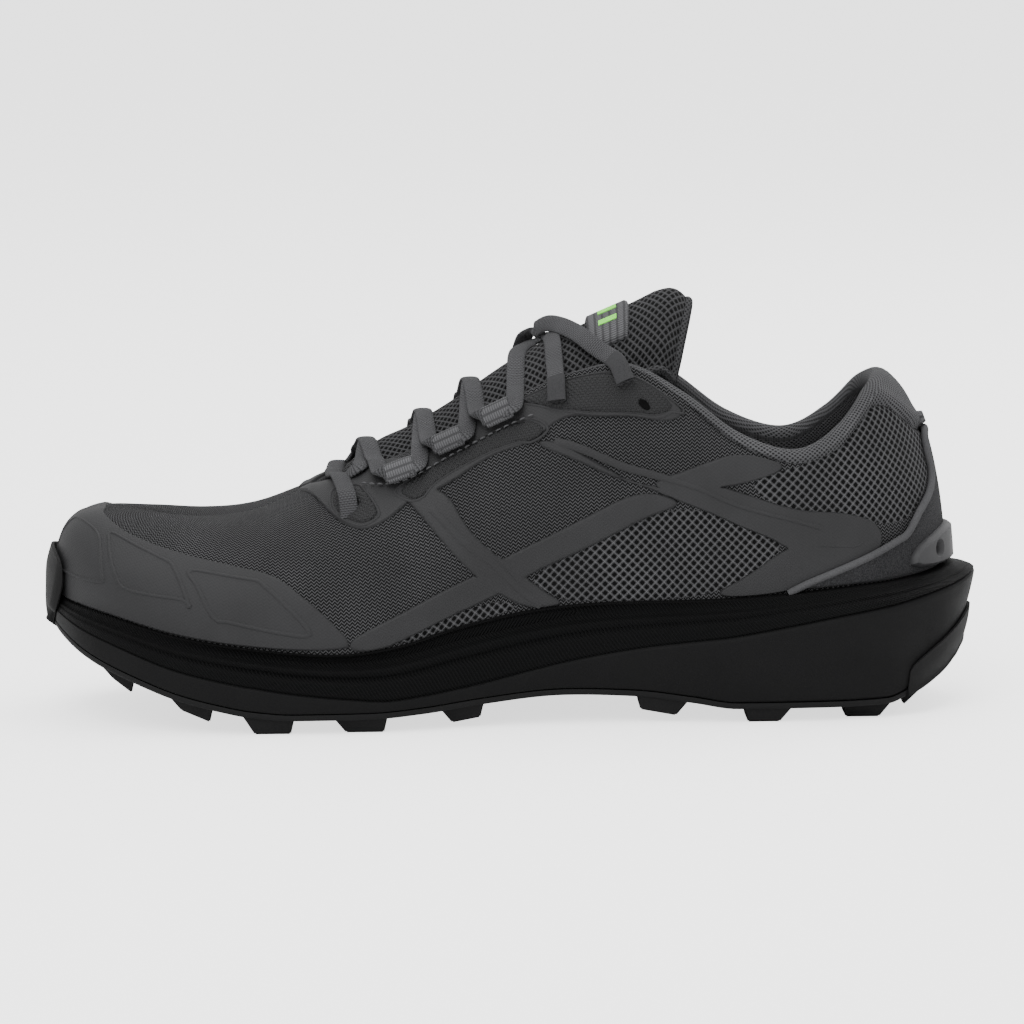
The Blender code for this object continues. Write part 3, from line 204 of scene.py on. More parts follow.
# Routes of the two free ends, in metres
LACE_ENDS = {
    "lace_end_a": (
        (0.0128, 0.0014, 0.1199), (0.0130, -0.0020, 0.1203), (0.0132, -0.0055, 0.1197),
        (0.0134, -0.0095, 0.1184), (0.0135, -0.0135, 0.1165), (0.0136, -0.0178, 0.1137),
        (0.0137, -0.0222, 0.1114), (0.0137, -0.0262, 0.1098),
        (0.0137, -0.0294, 0.1073), (0.0137, -0.0322, 0.1027),
    ),
    "lace_end_b": (
        (0.0085, 0.0050, 0.1212), (0.0120, 0.0005, 0.1236), (0.0160, -0.0048, 0.1236),
        (0.0200, -0.0100, 0.1223), (0.0227, -0.0150, 0.1210), (0.0256, -0.0193, 0.1190),
        (0.0290, -0.0225, 0.1168), (0.0313, -0.0262, 0.1157),
        (0.0334, -0.0307, 0.1139), (0.0354, -0.0345, 0.1089),
    ),
}

# Outlines as (section, share of the wall's height). They run to the bite line, under the midsole's
# rim, where the plain solids stop a little short of it
TOE_FILM = (
    (5.24, 0.000), (5.24, 0.054), (5.10, 0.091), (4.82, 0.177), (4.55, 0.257), (4.34, 0.324), (4.10, 0.368),
    (3.45, 0.415), (2.95, 0.441), (2.51, 0.478), (1.93, 0.532), (1.07, 0.662), (0.00, 0.760),
)
FILM_PANELS = {
    "throat": ((4.70, 0.985), (4.77, 0.932), (5.00, 0.756), (5.19, 0.594), (5.56, 0.495), (6.00, 0.53),
               (6.28, 0.583), (6.45, 0.62), (6.45, 0.985), (5.70, 0.985), (5.25, 0.985)),
    "eyestay": ((6.22, 0.60), (6.85, 0.600), (7.51, 0.675), (8.25, 0.655), (8.72, 0.750), (9.40, 0.705),
                (10.42, 0.755), (10.86, 0.857), (10.98, 0.965), (8.60, 0.965), (6.22, 0.965)),
    "instep_band": ((6.25, 0.70), (6.87, 0.60), (7.16, 0.356), (7.68, 0.209), (8.05, 0.124), (8.39, 0.051),
                    (8.72, 0.0), (8.10, 0.0), (7.64, 0.077), (7.23, 0.173), (6.77, 0.340), (6.31, 0.600)),
    "low_band": ((5.24, 0.0), (5.24, 0.060), (6.27, 0.131), (7.23, 0.173), (7.68, 0.209), (8.89, 0.286),
                 (10.23, 0.433), (10.99, 0.424), (9.41, 0.216), (8.05, 0.124), (7.56, 0.070), (5.96, 0.010),
                 (5.90, 0.0)),
    "heel_band": ((8.25, 0.66), (8.50, 0.65), (9.27, 0.511), (10.10, 0.43), (10.95, 0.515), (11.90, 0.662),
                  (13.41, 0.565), (15.08, 0.216), (14.00, 0.130), (12.72, 0.298), (12.43, 0.370),
                  (11.69, 0.421), (10.99, 0.424), (10.23, 0.433), (9.45, 0.458), (8.53, 0.583)),
    "heel_foot": ((12.72, 0.298), (12.02, 0.112), (11.20, 0.0), (12.70, 0.0), (13.18, 0.06),
                  (13.98, 0.125), (15.08, 0.19), (13.30, 0.400)),
    "collar_band": ((10.10, 0.43), (11.16, 0.634), (12.06, 0.965), (12.95, 0.965), (11.90, 0.662),
                    (11.00, 0.500)),
}
COUNTER = (
    (12.75, 0.000), (13.18, 0.056), (13.98, 0.120), (15.06, 0.174), (15.38, 0.192), (15.78, 0.267),
    (16.27, 0.332), (16.52, 0.410), (16.50, 0.500), (16.62, 0.580), (17.00, 0.600),
)
GAITER_TAB = ((15.34, 0.010), (15.44, 0.125), (16.50, 0.170), (17.00, 0.172))
GAITER_HOLE = (16.15, 0.090, 0.10, 0.022)   # section and share of the height, then half sizes in the same
HEEL_TAB = ((16.80, 0.620), (16.80, 0.690), (17.00, 0.690))
PADS = {
    "pad_front": ((5.66, 0.80), (5.76, 0.738), (5.90, 0.59), (5.84, 0.55), (5.56, 0.53), (5.21, 0.632),
                  (5.30, 0.80)),
    "pad_middle": ((6.20, 0.688), (6.36, 0.595), (6.55, 0.586), (6.73, 0.635), (7.02, 0.667), (7.51, 0.688),
                   (7.98, 0.686), (8.23, 0.662), (8.49, 0.702), (8.20, 0.79), (7.60, 0.80), (6.90, 0.76)),
    "pad_top": ((8.05, 0.945), (8.24, 0.88), (8.72, 0.775), (9.40, 0.728), (10.32, 0.770), (10.70, 0.867),
                (10.78, 0.945)),
}
# Eyelets through the pads: section, share of the height, radius
EYELET_HOLES = {"pad_front": (5.51, 0.665, 0.0021), "pad_top": (10.24, 0.822, 0.0016)}
MESH_AREAS = (
    ((8.80, 0.0), (8.40, 0.051), (8.05, 0.124), (9.41, 0.216), (10.99, 0.424), (11.69, 0.421), (12.43, 0.370),
     (12.72, 0.298), (12.02, 0.112), (11.20, 0.0)),
    ((5.90, 0.0), (5.96, 0.016), (7.56, 0.07), (8.10, 0.0)),
    ((11.90, 0.665), (12.93, 0.99), (15.20, 0.99), (16.60, 0.64), (16.60, 0.40), (15.10, 0.19),
     (13.41, 0.56)),
)
COLLAR_SEAM = (
    (10.80, 0.990), (11.80, 0.985), (12.77, 0.975), (13.33, 0.958), (13.91, 0.925), (14.40, 0.935),
    (14.95, 0.940), (15.45, 0.860), (15.92, 0.733), (16.45, 0.628), (17.00, 0.600),
)

# Raised lines on the films: (closed, half width, height, points)
RIDGES = (
    (False, 0.0012, 0.0005, ((6.60, 0.537), (7.05, 0.336), (7.52, 0.209), (7.93, 0.090), (8.30, 0.010))),
    (False, 0.0012, 0.0005, ((8.57, 0.632), (9.84, 0.503), (11.33, 0.532), (12.70, 0.520), (13.50, 0.400))),
    (False, 0.0006, 0.0003, ((14.32, 0.255), (14.10, 0.225), (13.20, 0.310))),
)
PODS = (
    ((1.41, 0.468), (1.86, 0.204), (1.76, 0.153), (0.76, 0.140), (0.30, 0.145), (0.30, 0.50)),
    ((1.70, 0.495), (1.80, 0.405), (2.09, 0.227), (2.30, 0.164), (3.07, 0.180), (3.18, 0.141), (3.04, 0.255),
     (2.84, 0.364), (2.76, 0.378), (2.34, 0.429)),
    ((3.13, 0.344), (3.26, 0.257), (3.51, 0.116), (3.72, 0.107), (4.54, 0.073), (4.70, 0.087), (4.41, 0.199),
     (4.13, 0.293), (3.98, 0.320)),
)
FLOOR_GLOW = 1.6            # floor and world are whiter to the camera, which lights nothing
CELL = (0.0172, 0.0680)     # length of one section and height of the wall, for flat distances
LOOP_ROUND = 0.0205         # way round a lace loop, for its ribs
WEBBING_THICK = 0.0009      # thickness of a loop's webbing
WEBBING_CORD = 0.0026       # distance between the webbing's cords
WEBBING_CROSS = 0.0008      # and between its fine cross threads

# Camera: focal length and sensor in mm, angles in degrees, distance in metres, shift in pixels
LENS, SENSOR = 184.7, 36.0
YAW, DIP, ROLL = 1.8, 8.7, -0.35
CAMERA_FAR = 1.7
AIM = (0.0, 0.0, 0.06)
SHIFT_PIXELS = (1.2, 7.3)
IMAGE_PIXELS = 1024
FLOOR_HALF = 6.0

# Lamps: name, place, power in watts, width
LAMPS = (
    ("key", (-0.5, -1.1, 1.5), 22.0, 1.2), ("top", (0.2, 0.3, 1.6), 16.0, 1.4),
    ("back", (0.9, 1.0, 0.9), 6.0, 0.8),
)
LAMP_AIM = (0, 0, 0.05)
WORLD_STRENGTH = 1.05


class ShoeSizes(bpy.types.PropertyGroup):
    """Sizes of the finishes."""

    knit_row: FloatProperty(name="Knit row", description="Height of one zigzag row", default=0.00112,
                            unit="LENGTH")
    knit_wave: FloatProperty(name="Knit wave", description="Length of one zigzag", default=0.0017,
                             unit="LENGTH")
    mesh_pitch: FloatProperty(name="Mesh pitch", description="Distance between the side mesh's holes",
                              default=0.0029, unit="LENGTH")
    tongue_pitch: FloatProperty(name="Tongue pitch", description="Distance between the tongue's holes",
                                default=0.0026, unit="LENGTH")
    collar_pitch: FloatProperty(name="Collar pitch", description="Distance between the collar mesh's cells",
                                default=0.0017, unit="LENGTH")
    dot_pitch: FloatProperty(name="Dot pitch", description="Distance between the pads' dots",
                             default=0.0017, unit="LENGTH")
    foam_rib: FloatProperty(name="Foam rib", description="Distance between the midsole's fine ribs",
                            default=0.00087, unit="LENGTH")
    lace_rib: FloatProperty(name="Lace rib", description="Distance between the lace's fine cross ribs",
                            default=0.00075, unit="LENGTH")
    braid: FloatProperty(name="Braid", description="Length of one braid cell of the lace", default=0.0014,
                         unit="LENGTH")


class ShoeColours(bpy.types.PropertyGroup):
    """Base colours of the finishes."""

    knit: FloatVectorProperty(name="Knit", description="Yarn of the upper", subtype="COLOR",
                              default=(0.070, 0.070, 0.073), min=0, max=1)
    film: FloatVectorProperty(name="Film", description="Fused films", subtype="COLOR",
                              default=(0.0225, 0.0225, 0.0235), min=0, max=1)
    collar: FloatVectorProperty(name="Collar", description="Collar and lining mesh", subtype="COLOR",
                                default=(0.042, 0.042, 0.044), min=0, max=1)
    suede: FloatVectorProperty(name="Suede", description="Heel counter", subtype="COLOR",
                               default=(0.034, 0.034, 0.036), min=0, max=1)
    foam: FloatVectorProperty(name="Foam", description="Midsole", subtype="COLOR",
                              default=(0.0030, 0.0030, 0.0032), min=0, max=1)
    rubber: FloatVectorProperty(name="Rubber", description="Outsole and lugs", subtype="COLOR",
                                default=(0.0066, 0.0066, 0.0068), min=0, max=1)
    lace: FloatVectorProperty(name="Lace", description="Laces", subtype="COLOR",
                              default=(0.062, 0.062, 0.065), min=0, max=1)
    webbing: FloatVectorProperty(name="Webbing", description="Lace loops", subtype="COLOR",
                                 default=(0.088, 0.088, 0.092), min=0, max=1)
    accent: FloatVectorProperty(name="Accent", description="Plain bars on the keeper", subtype="COLOR",
                                default=(0.205, 0.680, 0.095), min=0, max=1)


def curve_through(xs, ys):
    """A smooth curve through the points that never swings past them, for arrays of x."""
    xs, ys = np.asarray(xs, float), np.asarray(ys, float)
    steps = np.diff(xs)
    rates = np.diff(ys) / steps
    slopes = np.zeros(len(xs))
    slopes[0], slopes[-1] = rates[0], rates[-1]
    both = rates[:-1] * rates[1:]
    level = both > 0
    slopes[1:-1][level] = 2 * both[level] / (rates[:-1] + rates[1:])[level]

    def value(x):
        x = np.clip(x, xs[0], xs[-1])
        i = np.clip(np.searchsorted(xs, x, side="right") - 1, 0, len(steps) - 1)
        t = (x - xs[i]) / steps[i]
        start = (1 + 2 * t) * (1 - t) ** 2 * ys[i] + t * (1 - t) ** 2 * steps[i] * slopes[i]
        end = t * t * (3 - 2 * t) * ys[i + 1] + t * t * (t - 1) * steps[i] * slopes[i + 1]
        return start + end

    return value


def ease(x):
    """0 below 0, 1 above 1, and smooth between."""
    x = np.clip(x, 0.0, 1.0)
    return x * x * (3 - 2 * x)


def along(share):
    """X of a share of the length from the toe."""
    return (share - 0.5) * LENGTH


TABLE = np.array(SECTIONS)
BY_STATION = {name: curve_through(range(LAST + 1), TABLE[:, i]) for i, name in enumerate(STATIONS)}
for place, name in enumerate(SOLE_COLUMNS):
    BY_STATION[name] = curve_through(range(LAST + 1), [row[place] for row in SOLE_SECTIONS])
UNDER = curve_through([row[0] for row in SPRING], [row[1] for row in SPRING])
THROAT_HALF = curve_through((0, THROAT, 6, 7, 8, 9, 10, 11),
                            (0.10, 0.105, 0.122, 0.155, 0.185, 0.215, 0.25, 0.28))


def under(x):
    """Height of the plate's underside at x."""
    return LUG_DEPTH + SIDE_RISE * UNDER(x / LENGTH + 0.5)


def ring_station(k):
    """Station and side of places k round the shoe."""
    k = np.mod(k, ROUND)
    return np.where(k <= LAST, k, ROUND - k), np.where(k <= LAST, -1.0, 1.0)


def between(a, b, c, d, t):
    """Point at share t from b to c on a smooth curve through all four."""
    square, cube = 2 * a - 5 * b + 4 * c - d, 3 * b - a - 3 * c + d
    return 0.5 * (2 * b + (c - a) * t + square * t * t + cube * t ** 3)


def weave(points, k):
    """Smooth value at places k round the ring of values."""
    k = np.asarray(k, float)
    i = np.floor(k).astype(int)
    t = (k - i)[..., None]
    return between(*(points[(i + j) % len(points)] for j in (-1, 0, 1, 2)), t)


def section_ring():
    """Base and top control points of the whole sections, and their rows."""
    bases, tops, rises, rows = [], [], [], []
    for k in range(ROUND):
        i = k if k <= LAST else ROUND - k
        side = -1 if k <= LAST else 1
        row = dict(zip(STATIONS, SECTIONS[i]))
        half = row["medial"] if side < 0 else row["lateral"]
        top_half = row["top_medial"] if side < 0 else row["top_lateral"]
        bite = LUG_DEPTH + SIDE_RISE * row["bite"]
        rise = UPPER_RISE * row["rise"]
        bases.append((along(row["along"]), side * half * BALL_WIDTH, bite))
        tops.append((along(row["top_along"]), side * top_half * BALL_WIDTH, bite + rise))
        rises.append(rise)
        rows.append(row)
    return np.array(bases), np.array(tops), rises, rows


BASES, TOPS, RISES, ROWS = section_ring()
GRID_K = np.linspace(0, ROUND, FINE)
GRID_V = np.linspace(0, 1, 61)


def outward(k):
    """Level direction that points out of the shoe at places k."""
    run = weave(BASES, k + 0.05) - weave(BASES, k - 0.05)
    out = np.stack([run[..., 1], -run[..., 0], np.zeros_like(run[..., 0])], -1)
    return out / np.linalg.norm(out, axis=-1, keepdims=True)


def inner_controls():
    """The two middle control points of every whole section."""
    outs = outward(np.arange(ROUND, dtype=float))
    up = np.array([0, 0, 1.0])
    lows, highs = [], []
    for k in range(ROUND):
        row, rise = ROWS[k], RISES[k]
        lows.append(BASES[k] + outs[k] * row["swell"] * BALL_WIDTH + up * row["lift"] * rise)
        highs.append(TOPS[k] + outs[k] * row["shoulder"] * BALL_WIDTH + up * row["crown"] * rise)
    return np.array(lows), np.array(highs)


LOWS, HIGHS = inner_controls()


def top_point(k):
    """Points on the upper's top edge, or on its crest in front of the throat."""
    station, side = ring_station(k)
    point = weave(TOPS, k).copy()
    q = np.clip((station - THROAT) / THROAT_ROUND, 0.0, 1.0)
    opening = np.sqrt(np.clip(1 - (1 - q) ** 2, 0, 1))
    y = np.where(station <= THROAT, 0.0, side * THROAT_HALF(station) * BALL_WIDTH * opening)
    point[..., 1] = np.where(station < 7, y, point[..., 1])
    return point


def shell(k, v):
    """Points on the upper's outer surface, v from 0 at the bite line to 1 at the top."""
    k, v = np.broadcast_arrays(np.asarray(k, float), np.asarray(v, float))
    a, b, c, d = weave(BASES, k), weave(LOWS, k), weave(HIGHS, k), top_point(k)
    v = v[..., None]
    return a * (1 - v) ** 3 + 3 * b * v * (1 - v) ** 2 + 3 * c * v * v * (1 - v) + d * v ** 3


def shell_normal(k, v):
    """Outward normals of the upper's outer surface."""
    k, v = np.broadcast_arrays(np.asarray(k, float), np.asarray(v, float))
    step = 0.02
    up = shell(k, np.clip(v + step, 0, 1)) - shell(k, np.clip(v - step, 0, 1))
    turn = shell(k + step, v) - shell(k - step, v)
    normal = np.cross(turn, up)
    station, _ = ring_station(k)
    run = top_point(station + 2 * step) - top_point(np.clip(station - 2 * step, 0, None))
    crest = np.stack([-run[..., 2], np.zeros_like(run[..., 0]), run[..., 0]], -1)
    crest *= np.where(crest[..., 2:] > 0, 1, -1)
    on_crest = (station <= THROAT) & (v > 1 - 1e-6)
    normal = np.where(on_crest[..., None], crest, normal)
    return normal / np.maximum(np.linalg.norm(normal, axis=-1, keepdims=True), 1e-12)


def wall(k, v):
    """Thickness of the upper's wall."""
    station, _ = ring_station(k)
    full = ease((v - PAD_START) / (PAD_FULL - PAD_START))
    return WALL + (COLLAR_PAD - WALL) * BY_STATION["pad"](station) * full


def skin_point(k, v, lift=0.0):
    """Points at a height over the outer surface, or under it where lift is below 0."""
    lift = np.asarray(lift, float)
    return shell(k, v) + shell_normal(k, v) * lift[..., None]


def footbed(k):
    """Height of the midsole's footbed at places k round the shoe."""
    station, _ = ring_station(k)
    return LUG_DEPTH + SIDE_RISE * (BY_STATION["bite"](station) - BY_STATION["depth"](station))


def side_point(k, share, place, ledge=0.0):
    """Points on the midsole's side: share of the flare, and place from 0 at the bite line to 2."""
    k, share, place, ledge = np.broadcast_arrays(np.asarray(k, float), share, place, ledge)
    station, _ = ring_station(k)
    base, out = weave(BASES, k), outward(k)
    below = np.clip(place - 1.0, 0.0, None)
    groove = BY_STATION["groove"](station)
    drop = np.where(place < 1, place * groove, groove + below * (1 - groove))
    share = share - BY_STATION["tuck"](station) * below ** 1.5
    flare = BY_STATION["flare"](station) * BALL_WIDTH
    point = base + out * (FIT + flare * share - LEDGE * ledge * BY_STATION["ledge"](station))[..., None]
    bottom = under(point[..., 0]) + PLATE + FIT
    point[..., 2] = base[..., 2] + (bottom - base[..., 2]) * drop
    return point


def plate_point(k, inset, lift):
    """Points on the outsole plate's edge, lift above the plate's underside."""
    station, _ = ring_station(k)
    share = 1.0 - BY_STATION["tuck"](station)
    flare = BY_STATION["flare"](station) * BALL_WIDTH
    point = weave(BASES, k) + outward(k) * (FIT + flare * share - inset)[..., None]
    point[..., 2] = under(point[..., 0]) + lift
    return point


def distances(line):
    """Distance along a line of points to each of them."""
    return np.concatenate([[0], np.cumsum(np.linalg.norm(np.diff(line, axis=0), axis=1))])


def smooth_path(points, count, closed=False):
    """Points of a smooth curve through control points, evenly spaced along it."""
    points = np.asarray(points, float)
    last = len(points)
    fine = np.linspace(0, last if closed else last - 1, max(400, 30 * last))
    i = np.minimum(fine.astype(int), last - 1 if closed else last - 2)
    t = (fine - i)[:, None]

    def pick(j):
        return points[(i + j) % last if closed else np.clip(i + j, 0, last - 1)]

    line = between(*(pick(j) for j in (-1, 0, 1, 2)), t)
    far = distances(line)
    at = np.linspace(0, far[-1], count + 1 if closed else count)
    if closed:
        at = at[:-1]
    return np.stack([np.interp(at, far, line[:, axis]) for axis in range(line.shape[1])], -1)


def centring():
    """How far the part's source moved its solids to stand over the origin."""
    k = GRID_K[:-1]
    inset = WALL + UNDERCUT * BALL_WIDTH + 2 * FIT
    ring = weave(BASES, k) - outward(k) * inset
    low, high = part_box("insole")
    middle = (ring.min(0) + ring.max(0)) / 2
    return np.array([(low[0] + high[0]) / 2 - middle[0], (low[1] + high[1]) / 2 - middle[1], 0.0])


SHIFT = centring()


def surface_lengths():
    """Distance round the shoe at each place, and up the wall at each place and height, so that
    patterns keep their scale."""
    along_k = distances(shell(GRID_K, 0.35))
    points = shell(GRID_K[:, None], GRID_V[None, :])
    up = np.linalg.norm(np.diff(points, axis=1), axis=2)
    return along_k, np.concatenate([np.zeros((len(GRID_K), 1)), np.cumsum(up, axis=1)], 1)


LENGTH_K, LENGTH_V = surface_lengths()


def flat_map(k, v):
    """Pattern coordinates in metres of places on the upper."""
    k, v = np.broadcast_arrays(np.mod(k, ROUND), v)
    u = np.interp(k, GRID_K, LENGTH_K)
    at = np.clip(k / ROUND * (len(GRID_K) - 1), 0, len(GRID_K) - 1.001)
    i = at.astype(int)
    t = at - i
    row = np.clip(v, 0, 1) * (len(GRID_V) - 1)
    j = np.minimum(row.astype(int), len(GRID_V) - 2)
    s = row - j
    low = LENGTH_V[i, j] * (1 - s) + LENGTH_V[i, j + 1] * s
    high = LENGTH_V[i + 1, j] * (1 - s) + LENGTH_V[i + 1, j + 1] * s
    return np.stack([u, low * (1 - t) + high * t], -1)


def grid_faces(rows, columns, wrap=False, start=0):
    """Quads of a grid of points, row after row."""
    index = np.arange(rows * columns).reshape(rows, columns) + start
    if wrap:
        index = np.hstack([index, index[:, :1]])
    a, b, c, d = index[:-1, :-1], index[:-1, 1:], index[1:, 1:], index[1:, :-1]
    return np.stack([a, b, c, d], -1).reshape(-1, 4)


def closed_rings(count, columns):
    """Faces of a stack of rings, with the first and last ring closed from side to side."""
    faces = list(map(tuple, grid_faces(count, columns, wrap=True)))
    for row in (0, count - 1):
        ids = np.arange(columns) + row * columns
        for j in range(columns // 2):
            faces.append(tuple(dict.fromkeys([ids[j], ids[j + 1], ids[-j - 1], ids[-j % columns]])))
    return faces


def dress(name, mesh, finish, nodes, angle):
    """A piece made of a mesh: its shading, finish, body and the solids it stands for."""
    mesh.shade_smooth()
    mesh.set_sharp_from_angle(angle=math.radians(angle))
    mesh.materials.append(finish)
    piece = bpy.data.objects.new(name, mesh)
    bpy.context.scene.collection.objects.link(piece)
    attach(piece, "root")
    if nodes:
        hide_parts(*nodes)
    return piece


def add_piece(name, points, faces, finish, nodes=(), maps=None, fields=None, angle=50, shift=True,
              weld=0.00002):
    """A piece of the shoe from points and faces, with its pattern coordinates and fields."""
    points = np.asarray(points, float).reshape(-1, 3) + (SHIFT if shift else 0.0)
    mesh = bpy.data.meshes.new(name)
    mesh.from_pydata(points.tolist(), [], [list(map(int, face)) for face in faces])
    if maps is not None:
        maps = np.asarray(maps, float).reshape(-1, 2)
        layer = mesh.uv_layers.new(name="Flat")
        corners = np.zeros(len(mesh.loops), int)
        mesh.loops.foreach_get("vertex_index", corners)
        layer.data.foreach_set("uv", maps[corners].astype(np.float32).ravel())
    for label, values in (fields or {}).items():
        attribute = mesh.attributes.new(label, "FLOAT", "POINT")
        attribute.data.foreach_set("value", np.asarray(values, np.float32).ravel())
    work = bmesh.new()
    work.from_mesh(mesh)
    if weld:
        bmesh.ops.remove_doubles(work, verts=work.verts, dist=weld)
    loose = [vert for vert in work.verts if not vert.link_faces]
    bmesh.ops.delete(work, geom=loose, context="VERTS")
    bmesh.ops.recalc_face_normals(work, faces=work.faces)
    work.to_mesh(mesh)
    work.free()
    return dress(name, mesh, finish, nodes, angle)


def tree_of(*pieces):
    """A search tree of the pieces' surfaces."""
    points, faces = [], []
    for piece in pieces:
        start = len(points)
        points.extend(vertex.co.copy() for vertex in piece.data.vertices)
        faces.extend([start + i for i in face.vertices] for face in piece.data.polygons)
    return BVHTree.FromPolygons(points, faces)


def add_node(tree, kind, inputs=None, **settings):
    """A node with its settings, and its inputs set or linked."""
    made = tree.nodes.new(kind)
    for key, value in settings.items():
        setattr(made, key, value)
    for key, value in (inputs or {}).items():
        if isinstance(value, bpy.types.NodeSocket):
            tree.links.new(value, made.inputs[key])
        else:
            made.inputs[key].default_value = value
    return made


def calc(tree, operation, *values):
    """Output of a Math node."""
    return add_node(tree, "ShaderNodeMath", dict(enumerate(values)), operation=operation).outputs[0]


def ramp(tree, value, low, high, start=0.0, end=1.0):
    """A value mapped smoothly from low..high to start..end."""
    inputs = {"Value": value, "From Min": low, "From Max": high, "To Min": start, "To Max": end}
    return add_node(tree, "ShaderNodeMapRange", inputs, interpolation_type="SMOOTHSTEP").outputs[0]


def blend(tree, share, one, two):
    """A colour between two, by a share."""
    made = add_node(tree, "ShaderNodeMix", {0: share, 6: one, 7: two}, data_type="RGBA")
    return made.outputs[2]


def blend_value(tree, share, one, two):
    """A value between two, by a share."""
    return add_node(tree, "ShaderNodeMix", {0: share, 2: one, 3: two}, data_type="FLOAT").outputs[0]


def group(name, inputs, outputs, build):
    """A shader node group, made once."""
    if name in bpy.data.node_groups:
        return bpy.data.node_groups[name]
    tree = bpy.data.node_groups.new(name, "ShaderNodeTree")
    for label, kind, default in inputs:
        socket = tree.interface.new_socket(label, in_out="INPUT", socket_type=kind)
        if default is not None:
            socket.default_value = default
    for label in outputs:
        tree.interface.new_socket(label, in_out="OUTPUT", socket_type="NodeSocketFloat")
    given = tree.nodes.new("NodeGroupInput")
    result = tree.nodes.new("NodeGroupOutput")
    for label, value in zip(outputs, build(tree, given.outputs)):
        tree.links.new(value, result.inputs[label])
    return tree


VECTOR = ("Vector", "NodeSocketVector", None)


def number(label, default):
    """A group's number input."""
    return (label, "NodeSocketFloat", default)


def split_xy(tree, vector):
    """The two flat coordinates of a vector."""
    made = add_node(tree, "ShaderNodeSeparateXYZ", {0: vector})
    return made.outputs[0], made.outputs[1]


def swing(tree, turns):
    """Sine of a number of full turns."""
    return calc(tree, "SINE", calc(tree, "MULTIPLY", turns, math.tau))


def lattice_place(tree, x, y):
    """Place in the cell of a slanting lattice, from -0.5 to 0.5 both ways, and distance from its middle."""
    cells = calc(tree, "ADD", x, y), calc(tree, "SUBTRACT", x, y)
    p, q = (calc(tree, "SUBTRACT", calc(tree, "FRACT", cell), 0.5) for cell in cells)
    squares = (calc(tree, "MULTIPLY", value, value) for value in (p, q))
    return p, q, calc(tree, "SQRT", calc(tree, "ADD", *squares))


def zigzag_group():
    """Rows of zigzag knit: height of the yarn and the dark gaps between rows."""
    def build(tree, given):
        x, y = split_xy(tree, given["Vector"])
        waves = calc(tree, "DIVIDE", x, given["Wave"])
        slant = calc(tree, "MULTIPLY", calc(tree, "PINGPONG", waves, 0.5), 1.7)
        rows = calc(tree, "ADD", calc(tree, "DIVIDE", y, given["Row"]), slant)
        yarn = calc(tree, "MULTIPLY_ADD", swing(tree, rows), 0.5, 0.5)
        stitch = calc(tree, "SINE", calc(tree, "MULTIPLY", waves, 2 * math.tau))
        height = calc(tree, "ADD", yarn, calc(tree, "MULTIPLY", stitch, 0.06))
        return height, ramp(tree, height, 0.40, 0.76, 1.0, 0.0)
    inputs = [VECTOR, number("Row", 0.001), number("Wave", 0.0016)]
    return group("Zigzag knit", inputs, ["Height", "Gap"], build)


def hole_group():
    """A staggered lattice of holes: height of the yarn round them and the holes themselves."""
    def build(tree, given):
        x, y = split_xy(tree, given["Vector"])
        x = calc(tree, "DIVIDE", x, given["Pitch"])
        y = calc(tree, "DIVIDE", y, calc(tree, "MULTIPLY", given["Pitch"], given["Squash"]))
        p, q, round_far = lattice_place(tree, x, y)
        square_far = calc(tree, "MAXIMUM", calc(tree, "ABSOLUTE", p), calc(tree, "ABSOLUTE", q))
        far = blend_value(tree, given["Square"], round_far, square_far)
        edge = calc(tree, "SUBTRACT", far, given["Hole"])
        return ramp(tree, edge, -0.03, 0.16), ramp(tree, edge, -0.05, 0.05, 1.0, 0.0)
    inputs = [VECTOR, number("Pitch", 0.003), number("Hole", 0.26), number("Square", 0.6),
              number("Squash", 1.0)]
    return group("Hole mesh", inputs, ["Height", "Gap"], build)


def rib_group():
    """Straight ribs at an angle."""
    def build(tree, given):
        vector = {"Vector": given["Vector"], "Angle": given["Angle"]}
        turned = add_node(tree, "ShaderNodeVectorRotate", vector, rotation_type="Z_AXIS").outputs[0]
        ribs = calc(tree, "DIVIDE", split_xy(tree, turned)[0], given["Pitch"])
        height = calc(tree, "MULTIPLY_ADD", swing(tree, ribs), 0.5, 0.5)
        return height, ramp(tree, height, 0.05, 0.40, 1.0, 0.0)
    return group("Ribs", [VECTOR, number("Pitch", 0.001), number("Angle", 0.6)], ["Height", "Gap"], build)


def dot_group():
    """Raised dots on a lattice."""
    def build(tree, given):
        x, y = (calc(tree, "DIVIDE", value, given["Pitch"]) for value in split_xy(tree, given["Vector"]))
        far = lattice_place(tree, x, y)[2]
        return ramp(tree, far, 0.12, 0.42, 1.0, 0.0), ramp(tree, far, 0.38, 0.60)
    return group("Raised dots", [VECTOR, number("Pitch", 0.0016)], ["Height", "Gap"], build)


def grain_group():
    """Fine grain of a moulded or napped surface, and its broad unevenness."""
    def build(tree, given):
        fine = {"Vector": given["Vector"], "Scale": given["Scale"], "Detail": 4.0, "Roughness": 0.6}
        broad = {"Vector": given["Vector"], "Scale": 45.0, "Detail": 3.0}
        return [add_node(tree, "ShaderNodeTexNoise", inputs).outputs[0] for inputs in (fine, broad)]
    return group("Grain", [VECTOR, number("Scale", 2500.0)], ["Fine", "Broad"], build)


FINISHES = {}


